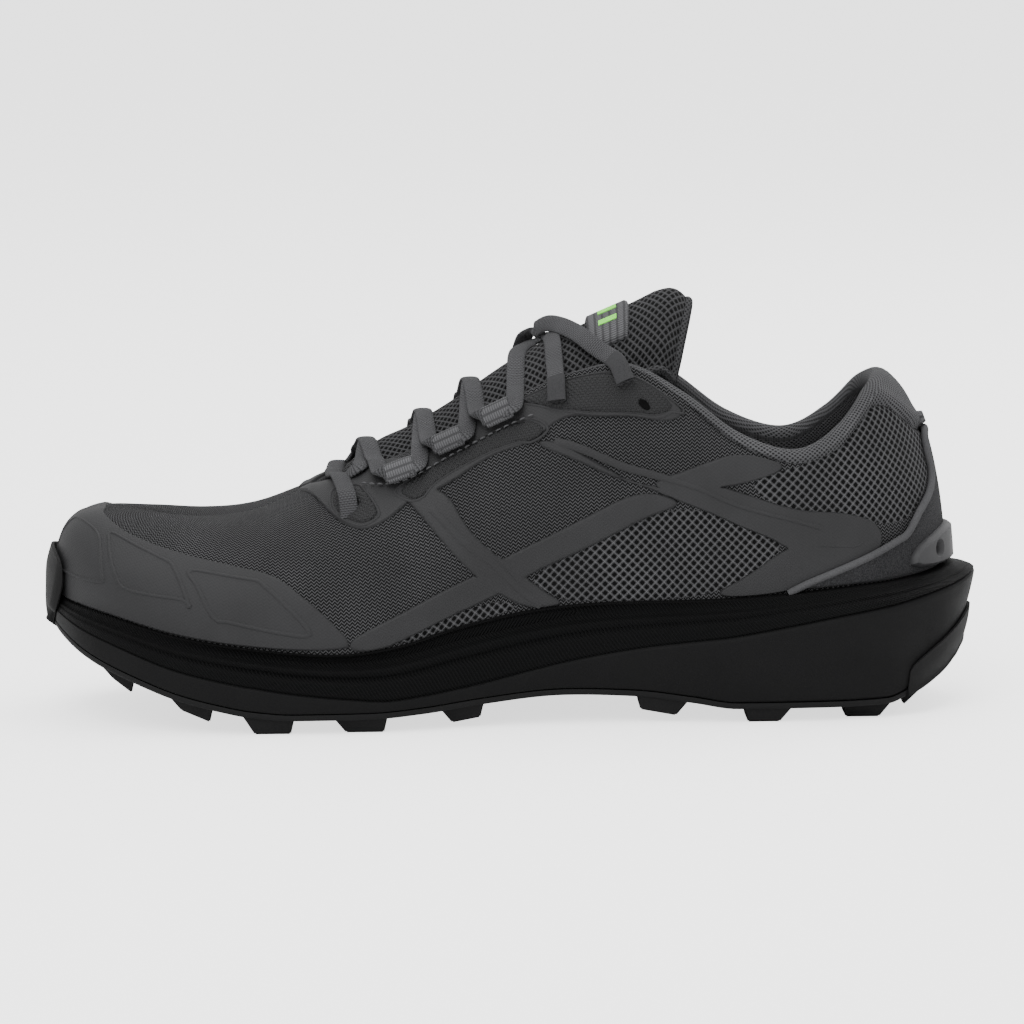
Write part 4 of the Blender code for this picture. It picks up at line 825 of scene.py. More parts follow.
def finish(name, colour, roughness, build, sheen=0.0, specular=0.5):
    """A finish: build gets the node tree, the pattern coordinates and the grain, and gives the dark
    share, the bump's height and its depth in metres, and where there is a second colour, its share and
    the colour."""
    if name in FINISHES:
        return FINISHES[name]
    if name in bpy.data.materials:
        raise RuntimeError(f"the frame already has a material called {name}")
    made = FINISHES[name] = bpy.data.materials.new(name)
    made.use_nodes = True
    tree = made.node_tree
    shader = tree.nodes["Principled BSDF"]
    shader.inputs["Sheen Weight"].default_value = sheen
    shader.inputs["Sheen Roughness"].default_value = 0.5
    shader.inputs["Specular IOR Level"].default_value = specular
    flat = add_node(tree, "ShaderNodeUVMap", uv_map="Flat").outputs[0]
    solid = add_node(tree, "ShaderNodeTexCoord").outputs["Object"]
    grain = add_node(tree, "ShaderNodeGroup", {"Vector": solid}, node_tree=grain_group()).outputs
    dark, height, depth, *other = build(tree, flat, grain)
    base = (*colour, 1)
    deep = (*(value * 0.035 for value in colour), 1)
    light = (*(min(value * 1.22, 1) for value in colour), 1)
    uneven = blend(tree, ramp(tree, grain["Broad"], 0.35, 0.68), base, light)
    tint = blend(tree, dark, uneven, deep)
    if other:
        share, second = other
        tint = blend(tree, share, tint, (*second, 1))
    tree.links.new(tint, shader.inputs["Base Color"])
    rough = ramp(tree, grain["Broad"], 0.3, 0.7, roughness - 0.05, roughness + 0.06)
    tree.links.new(rough, shader.inputs["Roughness"])
    bump = add_node(tree, "ShaderNodeBump", {"Height": height, "Distance": depth, "Strength": 1.0})
    tree.links.new(bump.outputs[0], shader.inputs["Normal"])
    return made


def use(tree, node_group, **inputs):
    """Outputs of a node group placed in a material."""
    labels = {key.replace("_", " "): value for key, value in inputs.items()}
    return add_node(tree, "ShaderNodeGroup", labels, node_tree=node_group).outputs


def knit_finish(sizes, colours):
    """The upper's knit, with its hole mesh and collar mesh where their fields say."""
    def build(tree, flat, grain):
        knit = use(tree, zigzag_group(), Vector=flat, Row=sizes.knit_row, Wave=sizes.knit_wave)
        mesh = use(tree, hole_group(), Vector=flat, Pitch=sizes.mesh_pitch, Hole=0.335, Square=0.6)
        collar = use(tree, hole_group(), Vector=flat, Pitch=sizes.collar_pitch, Hole=0.24, Square=0.2,
                     Squash=0.8)
        in_mesh = add_node(tree, "ShaderNodeAttribute", attribute_name="in_mesh").outputs["Fac"]
        in_collar = add_node(tree, "ShaderNodeAttribute", attribute_name="in_collar").outputs["Fac"]
        in_mesh = ramp(tree, in_mesh, 0.45, 0.55)
        in_collar = ramp(tree, in_collar, 0.45, 0.55)
        dark = blend_value(tree, in_mesh, calc(tree, "MULTIPLY", knit["Gap"], 0.95), mesh["Gap"])
        dark = blend_value(tree, in_collar, dark, calc(tree, "MULTIPLY", collar["Gap"], 0.85))
        height = blend_value(tree, in_mesh, knit["Height"], calc(tree, "MULTIPLY", mesh["Height"], 1.5))
        height = blend_value(tree, in_collar, height, calc(tree, "MULTIPLY", collar["Height"], 1.2))
        height = calc(tree, "ADD", height, calc(tree, "MULTIPLY", grain["Fine"], 0.35))
        return dark, height, 0.00055
    return finish("zigzag_knit", colours.knit, 0.88, build, sheen=0.02, specular=0.10)


def film_finish(sizes, colours):
    """Fused film: smooth with a fine grain, the knit's rows faint through it."""
    def build(tree, flat, grain):
        knit = use(tree, zigzag_group(), Vector=flat, Row=sizes.knit_row, Wave=sizes.knit_wave)
        height = calc(tree, "MULTIPLY_ADD", knit["Height"], 0.4, grain["Fine"])
        return calc(tree, "MULTIPLY", knit["Gap"], 0.10), height, 0.00010
    return finish("fused_film", colours.film, 0.60, build, specular=0.20)


def dotted_finish(sizes, colours):
    """Fused pads with raised dots."""
    def build(tree, flat, grain):
        dots = use(tree, dot_group(), Vector=flat, Pitch=sizes.dot_pitch)
        return calc(tree, "MULTIPLY", dots["Gap"], 0.75), dots["Height"], 0.0006
    return finish("dotted_film", colours.film, 0.60, build, specular=0.20)


def suede_finish(colours):
    """Napped suede of the heel counter."""
    def build(tree, flat, grain):
        dark = ramp(tree, grain["Fine"], 0.38, 0.62, 0.55, 0.0)
        return dark, grain["Fine"], 0.0005
    return finish("napped_suede", colours.suede, 0.97, build, sheen=0.04, specular=0.06)


def foam_finish(sizes, colours):
    """Midsole foam: fine slanting ribs above the long groove, smooth below it."""
    def build(tree, flat, grain):
        ribs = use(tree, rib_group(), Vector=flat, Pitch=sizes.foam_rib, Angle=0.75)
        band = add_node(tree, "ShaderNodeAttribute", attribute_name="smooth_band").outputs["Fac"]
        band = ramp(tree, band, 0.4, 0.6)
        dark = blend_value(tree, band, calc(tree, "MULTIPLY", ribs["Gap"], 0.7), 0.0)
        height = blend_value(tree, band, ribs["Height"], calc(tree, "MULTIPLY", grain["Fine"], 0.35))
        return dark, height, 0.00035, band, colours.rubber
    return finish("ribbed_foam", colours.foam, 0.62, build, specular=0.09)


def rubber_finish(colours):
    """Matt moulded rubber."""
    def build(tree, flat, grain):
        return 0.0, grain["Fine"], 0.00018
    return finish("matt_rubber", colours.rubber, 0.66, build, specular=0.16)


def gaiter_finish(colours):
    """Smooth moulded tab over the heel."""
    def build(tree, flat, grain):
        return 0.0, calc(tree, "MULTIPLY", grain["Fine"], 0.5), 0.00008
    return finish("gaiter_rubber", tuple(value * 1.45 for value in colours.film), 0.55, build, specular=0.22)


def tongue_finish(sizes, colours):
    """Spacer mesh of the tongue with its open diamonds."""
    def build(tree, flat, grain):
        mesh = use(tree, hole_group(), Vector=flat, Pitch=sizes.tongue_pitch, Hole=0.30, Square=0.8,
                   Squash=1.1)
        nap = calc(tree, "MULTIPLY", grain["Fine"], 0.4)
        return mesh["Gap"], calc(tree, "ADD", calc(tree, "MULTIPLY", mesh["Height"], 1.5), nap), 0.0004
    return finish("spacer_mesh", colours.collar, 0.90, build, sheen=0.02, specular=0.10)


def lining_finish(sizes, colours):
    """Fine lining cloth inside the shoe, also the bindings."""
    def build(tree, flat, grain):
        mesh = use(tree, hole_group(), Vector=flat, Pitch=sizes.collar_pitch, Hole=0.22, Square=0.2,
                   Squash=0.8)
        return calc(tree, "MULTIPLY", mesh["Gap"], 0.8), mesh["Height"], 0.0004
    return finish("lining_cloth", colours.collar, 0.92, build, sheen=0.02, specular=0.08)


def lace_finish(sizes, colours):
    """Flat braid of the lace."""
    def build(tree, flat, grain):
        braid = use(tree, hole_group(), Vector=flat, Pitch=sizes.braid, Hole=0.15, Square=0.9, Squash=0.8)
        ribs = use(tree, rib_group(), Vector=flat, Pitch=sizes.lace_rib, Angle=0.0)
        gaps = [calc(tree, "MULTIPLY", part["Gap"], 0.5) for part in (braid, ribs)]
        dark = calc(tree, "MAXIMUM", *gaps)
        height = calc(tree, "ADD", braid["Height"], calc(tree, "MULTIPLY", grain["Fine"], 0.4))
        return dark, calc(tree, "ADD", height, calc(tree, "MULTIPLY", ribs["Height"], 0.8)), 0.00022
    return finish("lace_braid", colours.lace, 0.90, build, sheen=0.02, specular=0.10)


def webbing_finish(colours):
    """Ribbed webbing: light cords with dark lines between."""
    def build(tree, flat, grain):
        rib = use(tree, rib_group(), Vector=flat, Pitch=WEBBING_CORD, Angle=math.pi / 2)
        cross = use(tree, rib_group(), Vector=flat, Pitch=WEBBING_CROSS, Angle=0.0)
        gaps = calc(tree, "MULTIPLY", rib["Gap"], 0.55), calc(tree, "MULTIPLY", cross["Gap"], 0.5)
        heights = calc(tree, "MULTIPLY", rib["Height"], 0.8), calc(tree, "MULTIPLY", cross["Height"], 0.7)
        return calc(tree, "MAXIMUM", *gaps), calc(tree, "ADD", *heights), 0.0003
    return finish("ribbed_webbing", colours.webbing, 0.85, build, sheen=0.02, specular=0.12)


def plain_cloth_finish(name, colour):
    """A plain close weave, for stitches and bars, and for the near-black discs of painted shade in the eyelet
    holes.
    """
    def build(tree, flat, grain):
        return ramp(tree, grain["Fine"], 0.3, 0.6, 0.3, 0.0), grain["Fine"], 0.0001
    return finish(name, colour, 0.85, build, sheen=0.02, specular=0.10)


def flat_distance(points, loop):
    """Distance from flat points to a closed loop, above 0 inside it."""
    loop = np.asarray(loop, float)
    start, end = loop, np.roll(loop, -1, 0)
    run = end - start
    rel = points[:, None] - start[None]
    t = np.clip((rel * run).sum(-1) / np.maximum((run * run).sum(-1), 1e-18), 0, 1)
    far = np.linalg.norm(rel - t[..., None] * run, axis=-1).min(1)
    x, y = points[:, :1], points[:, 1:]
    cross = (start[:, 1] > y) != (end[:, 1] > y)
    rise = np.where(run[:, 1] == 0, 1e-18, run[:, 1])
    hit = cross & (x < run[:, 0] * (y - start[:, 1]) / rise + start[:, 0])
    return np.where(hit.sum(1) % 2 == 1, far, -far)


def flat_loop(loop, turns=3):
    """A loop in flat metres with its corners rounded."""
    points = np.array([(k * CELL[0], v * CELL[1]) for k, v in loop])
    for _ in range(turns):
        after = np.roll(points, -1, 0)
        points = np.stack([points * 0.75 + after * 0.25, points * 0.25 + after * 0.75], 1).reshape(-1, 2)
    return points


def spaced(loop, step):
    """A closed flat loop with points every step."""
    closed = np.vstack([loop, loop[:1]])
    far = distances(closed)
    count = max(8, int(far[-1] / step))
    at = np.linspace(0, far[-1], count + 1)[:-1]
    return np.stack([np.interp(at, far, closed[:, axis]) for axis in (0, 1)], -1)


def nearest(points, border):
    """Distance from each flat point to the nearest one of the border, a part of them at a time."""
    far = np.full(len(points), 1e9)
    for part in np.array_split(np.arange(len(points)), max(1, len(points) // 2000)):
        far[part] = np.linalg.norm(points[part][:, None] - border[None], axis=2).min(1)
    return far


def panel(name, loops, base_lift, thick, finish_used, nodes=(), step=0.0012, edge=0.0006, holes=()):
    """A film or pad on the upper: rounded flat loops laid over its surface, with a soft edge."""
    rings = [spaced(loop, step) for loop in loops]
    gaps = [spaced(loop, step * 0.6) for loop in holes]
    outer = []
    for i, ring in enumerate(rings):
        keep = np.ones(len(ring), bool)
        for j, other in enumerate(rings):
            if i != j:
                keep &= flat_distance(ring, other) < 0.0002
        outer.append(ring[keep])
    border = np.vstack(outer + gaps)
    shrunk = []
    for ring in rings + gaps:
        run = np.roll(ring, -1, 0) - np.roll(ring, 1, 0)
        side = np.stack([-run[:, 1], run[:, 0]], -1)
        side /= np.maximum(np.linalg.norm(run, axis=1, keepdims=True), 1e-12)
        for sign in (-1, 1):
            for share in (0.35, 1.0):
                shrunk.append(ring + side * edge * share * sign)
    low, high = np.vstack(rings).min(0), np.vstack(rings).max(0)
    xs, ys = np.arange(low[0], high[0], step), np.arange(low[1], high[1], step * 0.87)
    lattice = np.stack(np.meshgrid(xs, ys), -1)
    lattice[1::2, :, 0] += step / 2
    spots = np.vstack(shrunk + [lattice.reshape(-1, 2)])
    within = np.max([flat_distance(spots, ring) for ring in rings], 0)
    for gap in gaps:
        within = np.minimum(within, -flat_distance(spots, gap))
    near = nearest(spots, border)
    first = sum(len(part) for part in shrunk)
    ok = (within > 0.00003) & (near > edge * 0.3)
    ok[first:] &= near[first:] > edge * 1.4
    spots = spots[ok]
    verts = [tuple(p) for ring in rings + gaps for p in ring]
    faces, edges, start = [], [], 0
    for ring in rings:
        faces.append(list(range(start, start + len(ring))))
        start += len(ring)
    for gap in gaps:
        edges.extend((start + i, start + (i + 1) % len(gap)) for i in range(len(gap)))
        start += len(gap)
    verts.extend(tuple(p) for p in spots)
    out, _, tris, _, _, _ = delaunay_2d_cdt([Vector(p) for p in verts], edges, faces, 1, 1e-6)
    flat = np.array([tuple(p) for p in out])
    tris = np.array([tuple(tri) for tri in tris if len(tri) == 3])
    middle = flat[tris].mean(1)
    kept = np.ones(len(tris), bool)
    for gap in gaps:
        kept &= flat_distance(middle, gap) < 0
    tris = tris[kept]
    used = np.unique(tris)
    new = np.full(len(flat), -1)
    new[used] = np.arange(len(used))
    tris, flat = new[tris], flat[used]
    rise = np.sqrt(np.clip(nearest(flat, border) / edge, 0, 1))
    k, v = flat[:, 0] / CELL[0], np.clip(flat[:, 1] / CELL[1], 0, 1)
    top = skin_point(k, v, base_lift + thick * rise)
    foot = skin_point(k, v, np.full(len(k), base_lift - 0.0004))
    count = len(flat)
    seen = set()
    for a, b, c in tris:
        seen.update(((a, b), (b, c), (c, a)))
    walls = [(a, b, b + count, a + count) for a, b in seen if (b, a) not in seen]
    all_faces = [tuple(tri) for tri in tris] + [tuple(reversed(tri + count)) for tri in tris] + walls
    maps = np.vstack([flat_map(k, v)] * 2)
    return add_piece(name, np.vstack([top, foot]), all_faces, finish_used, nodes, maps=maps, angle=35)


def other_side(loop):
    """The same loop on the lateral side."""
    return [(ROUND - k, v) for k, v in reversed(loop)]


def mirrored(half):
    """A loop across the toe or heel: the half given, then its mirror image."""
    middle = half[-1][0]
    return list(half) + [(2 * middle - k, v) for k, v in reversed(half[:-1])]


def tube(name, centres, across, wide, thick, finish_used, nodes=(), sides=16, power=0.75, shift=True):
    """A flat or round tube along centres; across gives the direction of its width at each."""
    centres = np.asarray(centres, float)
    run = np.gradient(centres, axis=0)
    run /= np.linalg.norm(run, axis=1, keepdims=True)
    across = np.asarray(across, float) - run * (np.asarray(across, float) * run).sum(1, keepdims=True)
    across /= np.linalg.norm(across, axis=1, keepdims=True)
    up = np.cross(across, run)
    turn = np.arange(sides) / sides * math.tau
    c, s = np.cos(turn), np.sin(turn)
    x = np.sign(c) * np.abs(c) ** power * wide / 2
    y = np.sign(s) * np.abs(s) ** power * thick / 2
    rings = centres[:, None] + (across[:, None] * x[None, :, None] + up[:, None] * y[None, :, None])
    rows = len(centres)
    faces = [tuple(face) for face in grid_faces(rows, sides, wrap=True)]
    faces.append(tuple(range(sides)))
    faces.append(tuple(range((rows - 1) * sides, rows * sides)))
    far = distances(centres)
    around = np.concatenate([[0], np.cumsum(np.hypot(np.diff(x), np.diff(y)))])
    maps = np.stack(np.broadcast_arrays(far[:, None], around[None, :]), -1)
    return add_piece(name, rings.reshape(-1, 3), faces, finish_used, nodes, maps=maps, shift=shift,
                     weld=0)


def raised_lines(name, lines, base_lift, finish_used):
    """Low rounded ridges laid on the films; each line is (closed, half width, height, flat points)."""
    points, faces, maps = [], [], []
    profile = np.array([(-1.0, 0.0), (-0.72, 0.62), (-0.3, 0.95), (0.3, 0.95), (0.72, 0.62), (1.0, 0.0)])
    for closed, half, height, places in lines:
        flat = np.array([(k * CELL[0], v * CELL[1]) for k, v in places])
        count = max(8, int(np.linalg.norm(np.diff(flat, axis=0), axis=1).sum() / 0.0012))
        path = smooth_path(flat, count, closed)
        run = np.roll(path, -1, 0) - np.roll(path, 1, 0) if closed else np.gradient(path, axis=0)
        side = np.stack([-run[:, 1], run[:, 0]], -1) / np.linalg.norm(run, axis=1, keepdims=True)
        ahead = np.arange(len(path))
        fade = 1.0 if closed else np.minimum(1, np.minimum(ahead, ahead[::-1]) / 2 + 0.05)
        first = sum(len(part) for part in points)
        for across, lift in profile:
            spot = path + side * (half * across)
            k, v = spot[:, 0] / CELL[0], np.clip(spot[:, 1] / CELL[1], 0, 1)
            points.append(skin_point(k, v, base_lift + height * lift * fade - 0.00015))
            maps.append(flat_map(k, v))
        faces.extend(map(tuple, grid_faces(len(profile), len(path), wrap=closed, start=first)))
    return add_piece(name, np.vstack(points), faces, finish_used, maps=np.vstack(maps), weld=0)


def stitches(name, paths, length, gap, thick, finish_used, shift=True):
    """Rows of single stitches: paths are lists of points with the surface's normal at each."""
    points, faces = [], []
    for line, normals in paths:
        far = distances(line)
        for start in np.arange(0, far[-1] - length, length + gap):
            at = start + np.linspace(0, length, 5)
            spots = np.stack([np.interp(at, far, line[:, axis]) for axis in range(3)], -1)
            normal = np.stack([np.interp(at, far, normals[:, axis]) for axis in range(3)], -1)
            run = spots[-1] - spots[0]
            run /= np.linalg.norm(run)
            across = np.cross(normal, run)
            arch = np.sin(np.linspace(0.12, math.pi - 0.12, 5))
            first = len(points)
            for spot, up, side, height in zip(spots, normal, across, arch):
                for turn in np.arange(6) / 6 * math.tau:
                    points.append(spot + up * thick * (height * 0.6 + 0.5 * math.sin(turn))
                                  + side * thick * 0.5 * math.cos(turn) * (0.45 + 0.55 * height))
            faces.extend(map(tuple, grid_faces(5, 6, wrap=True, start=first)))
            faces.append(tuple(range(first, first + 6)))
            faces.append(tuple(range(first + 24, first + 30)))
    return add_piece(name, points, faces, finish_used, weld=0, shift=shift)


def build_upper(context):
    """The knitted upper with its padded collar, open underneath, at the throat and at the collar."""
    k = GRID_K[:-1]
    levels = np.linspace(0, 1, 73)
    base, out, floor = weave(BASES, k), outward(k), footbed(k) + FIT

    def foot(inset):
        low = base - out * (UNDERCUT * BALL_WIDTH + inset)
        low[:, 2] = floor
        turn = base - out * (0.25 * UNDERCUT * BALL_WIDTH + inset)
        turn[:, 2] = base[:, 2] + (floor - base[:, 2]) * 0.6
        return [low, turn]

    station, _ = ring_station(k)
    seam = curve_through(*zip(*COLLAR_SEAM))(station)
    kk, vv = np.meshgrid(k, levels)
    height = flat_map(kk, vv)[..., 1] - flat_map(kk, np.broadcast_to(seam, kk.shape))[..., 1]
    padded = ease((station - 10.6) / 0.8)
    groove = -0.0011 * np.exp(-(height / 0.0011) ** 2) * padded
    roll = 0.0009 * np.exp(-((height - 0.004) / 0.003) ** 2) * padded
    ripple = 0.00025 * np.sin(kk * 2.1 + vv * 5.0) * np.sin(kk * 0.83 - vv * 9.0 + 1.0)
    outer = skin_point(kk, vv, (groove + roll + ripple) * (vv < 1))
    lining_levels = np.linspace(1, 0, 25)
    ik, iv = np.meshgrid(k, lining_levels)
    inner = skin_point(ik, iv, -wall(ik, iv))
    rows = foot(0.0) + list(outer)
    front = station <= THROAT + 1e-9
    rows_in = list(inner) + foot(WALL)[::-1]
    columns = len(k)
    points = [np.array(rows).reshape(-1, 3), np.array(rows_in).reshape(-1, 3)]
    faces = list(map(tuple, grid_faces(len(rows), columns, wrap=True)))
    start_in = len(rows) * columns
    faces += list(map(tuple, grid_faces(len(rows_in), columns, wrap=True, start=start_in)))
    last_in = start_in + (len(rows_in) - 1) * columns
    ring = np.arange(columns)
    faces += [(i, (i + 1) % columns, last_in + (i + 1) % columns, last_in + i) for i in ring]
    opens = np.where((~front) | (np.abs(station - THROAT) < 1e-9))[0]
    edge, lining = outer[-1][opens], inner[0][opens]
    middle, half = (edge + lining) / 2, (edge - lining) / 2
    up = shell(k[opens], 1.0) - shell(k[opens], 0.96)
    up -= half * ((up * half).sum(1) / (half * half).sum(1))[:, None]
    size = np.linalg.norm(half, axis=1, keepdims=True)
    up = up / np.maximum(np.linalg.norm(up, axis=1, keepdims=True), 1e-9) * size
    up[[0, -1]] = np.array([0.4, 0, 0]) * size[[0, -1]]
    rim_steps = 9
    start_rim = start_in + len(rows_in) * columns
    edge_ids = (len(rows) - 1) * columns + opens
    lining_ids = start_in + opens
    rings = [edge_ids]
    for step in range(1, rim_steps + 1):
        angle = math.pi * step / (rim_steps + 1)
        points.append(middle + half * math.cos(angle) + up * math.sin(angle))
        rings.append(start_rim + (step - 1) * len(opens) + np.arange(len(opens)))
    rings.append(lining_ids)
    for one, two in zip(rings, rings[1:]):
        faces += list(zip(one[:-1], one[1:], two[1:], two[:-1]))
    flat = np.stack([kk * CELL[0], vv * CELL[1]], -1).reshape(-1, 2)
    other = flat.copy()
    other[:, 0] = ROUND * CELL[0] - other[:, 0]
    areas = [flat_loop(area, 2) for area in MESH_AREAS]
    in_mesh = np.max([np.maximum(flat_distance(flat, area), flat_distance(other, area)) for area in areas], 0)
    in_mesh = np.clip(in_mesh / 0.002 * 0.5 + 0.5, 0, 1).reshape(kk.shape)
    in_collar = np.clip(height / 0.002 * 0.5 + 0.5, 0, 1) * padded

    def field(outer_values, rest):
        first = np.repeat(outer_values[:1], 2, 0)
        return np.concatenate([first.ravel(), outer_values.ravel(), np.full(len(rows_in) * columns, rest),
                               np.full(rim_steps * len(opens), rest)])

    maps_outer = flat_map(kk, vv)
    maps_in = flat_map(ik, iv)
    top = maps_outer[-1][opens]
    rim_maps = [top + np.array([0, 0.0012 * step]) for step in range(1, rim_steps + 1)]
    maps = np.vstack([np.repeat(maps_outer[:1], 2, 0).reshape(-1, 2), maps_outer.reshape(-1, 2),
                      maps_in.reshape(-1, 2), np.repeat(maps_in[-1:], 2, 0).reshape(-1, 2), *rim_maps])
    knit = knit_finish(context.scene.shoe_sizes, context.scene.shoe_colours)
    fields = {"in_mesh": field(in_mesh, 0.0), "in_collar": field(in_collar, 1.0)}
    add_piece("upper_knit", np.vstack(points), faces, knit, ["upper"], maps=maps, fields=fields,
              angle=70)


def build_films(context):
    """Toe film, side films, their raised lines, the pads, and near-black discs of painted shade under the
    pads' eyelet holes.
    """
    colours, sizes = context.scene.shoe_colours, context.scene.shoe_sizes
    film, dotted = film_finish(sizes, colours), dotted_finish(sizes, colours)
    # Near-black finish for the discs under the pads' eyelet holes: painted shade for the dark inside of each
    # hole
    shade = plain_cloth_finish("eyelet_shade", (0.0015, 0.0015, 0.0015))
    panel("toe_film_skin", [flat_loop(mirrored(TOE_FILM))], 0.0, FILM, film, ["toe_film"])
    for side, turn in (("medial", lambda loop: list(loop)), ("lateral", other_side)):
        loops = [flat_loop(turn(loop)) for loop in FILM_PANELS.values()]
        panel(f"side_film_skin_{side}", loops, 0.0, FILM, film, [f"side_film_{side}"])
        for name, loop in PADS.items():
            holes = []
            if name in EYELET_HOLES:
                place, height, radius = EYELET_HOLES[name]
                place = place if side == "medial" else ROUND - place
                turns = np.arange(20) / 20 * math.tau
                rim = np.stack([np.cos(turns), np.sin(turns)], -1) * radius
                centre = np.array([place * CELL[0], height * CELL[1]])
                holes = [centre + rim]
                # A disc of painted shade under the hole, standing for the hole's shadowed inside
                panel(f"eyelet_{name}_{side}", [centre + rim * 1.15], FILM, 0.00012, shade,
                      step=0.0005, edge=0.0003)
            panel(f"{name}_{side}", [flat_loop(turn(loop))], FILM - 0.0001, 0.0007, dotted,
                  step=0.0014, edge=0.0009, holes=holes)
        lines = [(closed, half, height, turn(places)) for closed, half, height, places in RIDGES]
        lines += [(True, 0.00070, 0.00050, turn(pod)) for pod in PODS]
        lines += [(True, 0.00050, 0.00045, turn(loop)) for loop in PADS.values()]
        raised_lines(f"raised_lines_{side}", lines, FILM, film)


def build_heel(context):
    """Suede counter with its piping, the gaiter tab and the heel tab."""
    colours = context.scene.shoe_colours
    suede = suede_finish(colours)
    panel("heel_counter_suede", [flat_loop(mirrored(COUNTER), 2)], FIT, GUARD, suede,
          ["heel_counter"], step=0.0016, edge=0.001)
    place, height, half_place, half_height = GAITER_HOLE
    holes = []
    turns = np.arange(16) / 16 * math.tau
    for centre in (place, ROUND - place):
        holes.append(np.stack([(centre + half_place * np.cos(turns)) * CELL[0],
                               (height + half_height * np.sin(turns)) * CELL[1]], -1))
    panel("gaiter_tab_rubber", [flat_loop(mirrored(GAITER_TAB), 2)], FIT * 2 + GUARD, GAITER,
          gaiter_finish(colours), ["gaiter_tab"], holes=holes, edge=0.0012)
    panel("heel_tab_webbing", [flat_loop(mirrored(HEEL_TAB), 2)], FIT, GUARD * 1.5, webbing_finish(colours),
          ["heel_tab"], step=0.001)
    half = smooth_path(np.array([(k * CELL[0], v * CELL[1]) for k, v in COUNTER]), 60)
    line = np.vstack([half, (np.array([ROUND * CELL[0], 0]) + half[::-1] * np.array([-1, 1]))[1:]])
    k, v = line[:, 0] / CELL[0], line[:, 1] / CELL[1]
    centres = skin_point(k, v, np.full(len(k), 0.0013))
    piping = plain_cloth_finish("piping", tuple(value * 0.85 for value in colours.knit))
    tube("counter_piping", centres, shell_normal(k, v), 0.0024, 0.0024, piping, sides=12, power=1.0)


def build_midsole(context):
    """The foam midsole with its ledge, ridges, long groove and footbed."""
    k = GRID_K[:-1]
    rings = np.array(SIDE_RINGS)
    steps = np.linspace(0, len(rings) - 1, (len(rings) - 1) * 4 + 1)
    i = np.minimum(steps.astype(int), len(rings) - 2)
    t = (steps - i)[:, None]
    fine = between(*(rings[np.clip(i + j, 0, len(rings) - 1)] for j in (-1, 0, 1, 2)), t)
    share, place, ledge = fine[:, 0], fine[:, 1], fine[:, 2]
    side = side_point(k[None], share[:, None], place[:, None], ledge[:, None])
    base, out = weave(BASES, k), outward(k)
    floor = base + out * (FIT - UNDERCUT * BALL_WIDTH)
    floor[:, 2] = footbed(k)
    turn = base + out * (FIT * 2 - 0.25 * UNDERCUT * BALL_WIDTH)
    turn[:, 2] = base[:, 2] + (footbed(k) + FIT - base[:, 2]) * 0.6
    rows = np.concatenate([[floor, turn], side])
    count, columns = rows.shape[:2]
    around = np.interp(k, GRID_K, LENGTH_K)
    down = np.concatenate([[0], np.cumsum(np.linalg.norm(np.diff(rows, axis=0), axis=2).mean(1))])
    maps = np.stack(np.broadcast_arrays(around[None], down[:, None]), -1)
    band = np.concatenate([[0, 0], ease((place - 0.96) / 0.06)])
    field = np.broadcast_to(band[:, None], (count, columns))
    scene = context.scene
    foam = foam_finish(scene.shoe_sizes, scene.shoe_colours)
    add_piece("midsole_foam", rows, closed_rings(count, columns), foam, ["midsole"], maps=maps,
              fields={"smooth_band": field}, angle=60)


def wrap_rows(places, reach, thick, rows):
    """Inner and outer points of rubber that climbs an end of the shoe, with the places of each row."""
    outs, inns = [], []
    for number, (k, (kind, value)) in enumerate(zip(places, rows)):
        if kind == "shell":
            point = shell(k, value * reach)
        else:
            point = side_point(k, 1.0, 2 - (2 - value) * reach)
        clear = FIT * 4 + FILM if kind == "shell" else FIT
        full = thick * (0.6 if number == 0 else 1.0)
        inns.append(point + outward(k) * clear)
        outs.append(point + outward(k) * (clear + full)[:, None])
    return np.array(inns), np.array(outs)


def build_outsole(context):
    """Rubber plate, toe bumper, heel wrap and the lugs."""
    colours = context.scene.shoe_colours
    rubber = rubber_finish(colours)
    k = np.linspace(0, ROUND, PLAIN)[:-1]
    rows = np.array([plate_point(k, np.full(len(k), inset), lift) for inset, lift in (
        (0.0016, 0.0), (0.0006, 0.0001), (0.0002, 0.0005), (0.0, 0.0010), (0.0, PLATE))])
    add_piece("outsole_plate", rows, closed_rings(*rows.shape[:2]), rubber, ["outsole"], angle=40)
    for name, start, end, thick, table in (
            ("toe_bumper", -BUMPER_REACH, BUMPER_REACH, BUMPER, BUMPER_ROWS),
            ("heel_rubber", LAST - HEEL_REACH, LAST + HEEL_REACH, HEEL_WRAP, HEEL_ROWS)):
        q = np.linspace(-1, 1, 61)
        middle, half = (start + end) / 2, (end - start) / 2
        widths = BUMPER_WIDTHS if name == "toe_bumper" else [1.0] * len(table)
        reach = 0.5 + 0.5 * np.sqrt(np.clip(1 - q ** 2, 0, 1))
        full = thick * (0.25 + 0.75 * np.sqrt(np.clip((1 - np.abs(q)) / 0.12, 0, 1)))
        inns, outs = wrap_rows([middle + q * half * width for width in widths], reach, full, table)
        kk = middle + q * half * widths[-1]
        foot = outs[-1].copy()
        foot[:, 2] = under(foot[:, 0])
        root = plate_point(kk, full + 0.002, 0.0)
        outer = np.concatenate([outs, [foot, root]])
        profile = np.array([smooth_path(outer[:, j], 36) for j in range(len(kk))])
        back = np.array([smooth_path(inns[:, j], 12)[::-1] for j in range(len(kk))])
        grid = np.concatenate([profile, back], 1)
        rows_here, columns_here = grid.shape[:2]
        faces = list(map(tuple, grid_faces(rows_here, columns_here, wrap=True)))
        faces.append(tuple(range(columns_here)))
        faces.append(tuple(range((rows_here - 1) * columns_here, rows_here * columns_here)))
        add_piece(name, grid, faces, rubber, ["outsole"], angle=40)
    for row, (start, end) in enumerate(LUG_ROWS):
        build_lug_row(row, along(start), along(end), rubber)


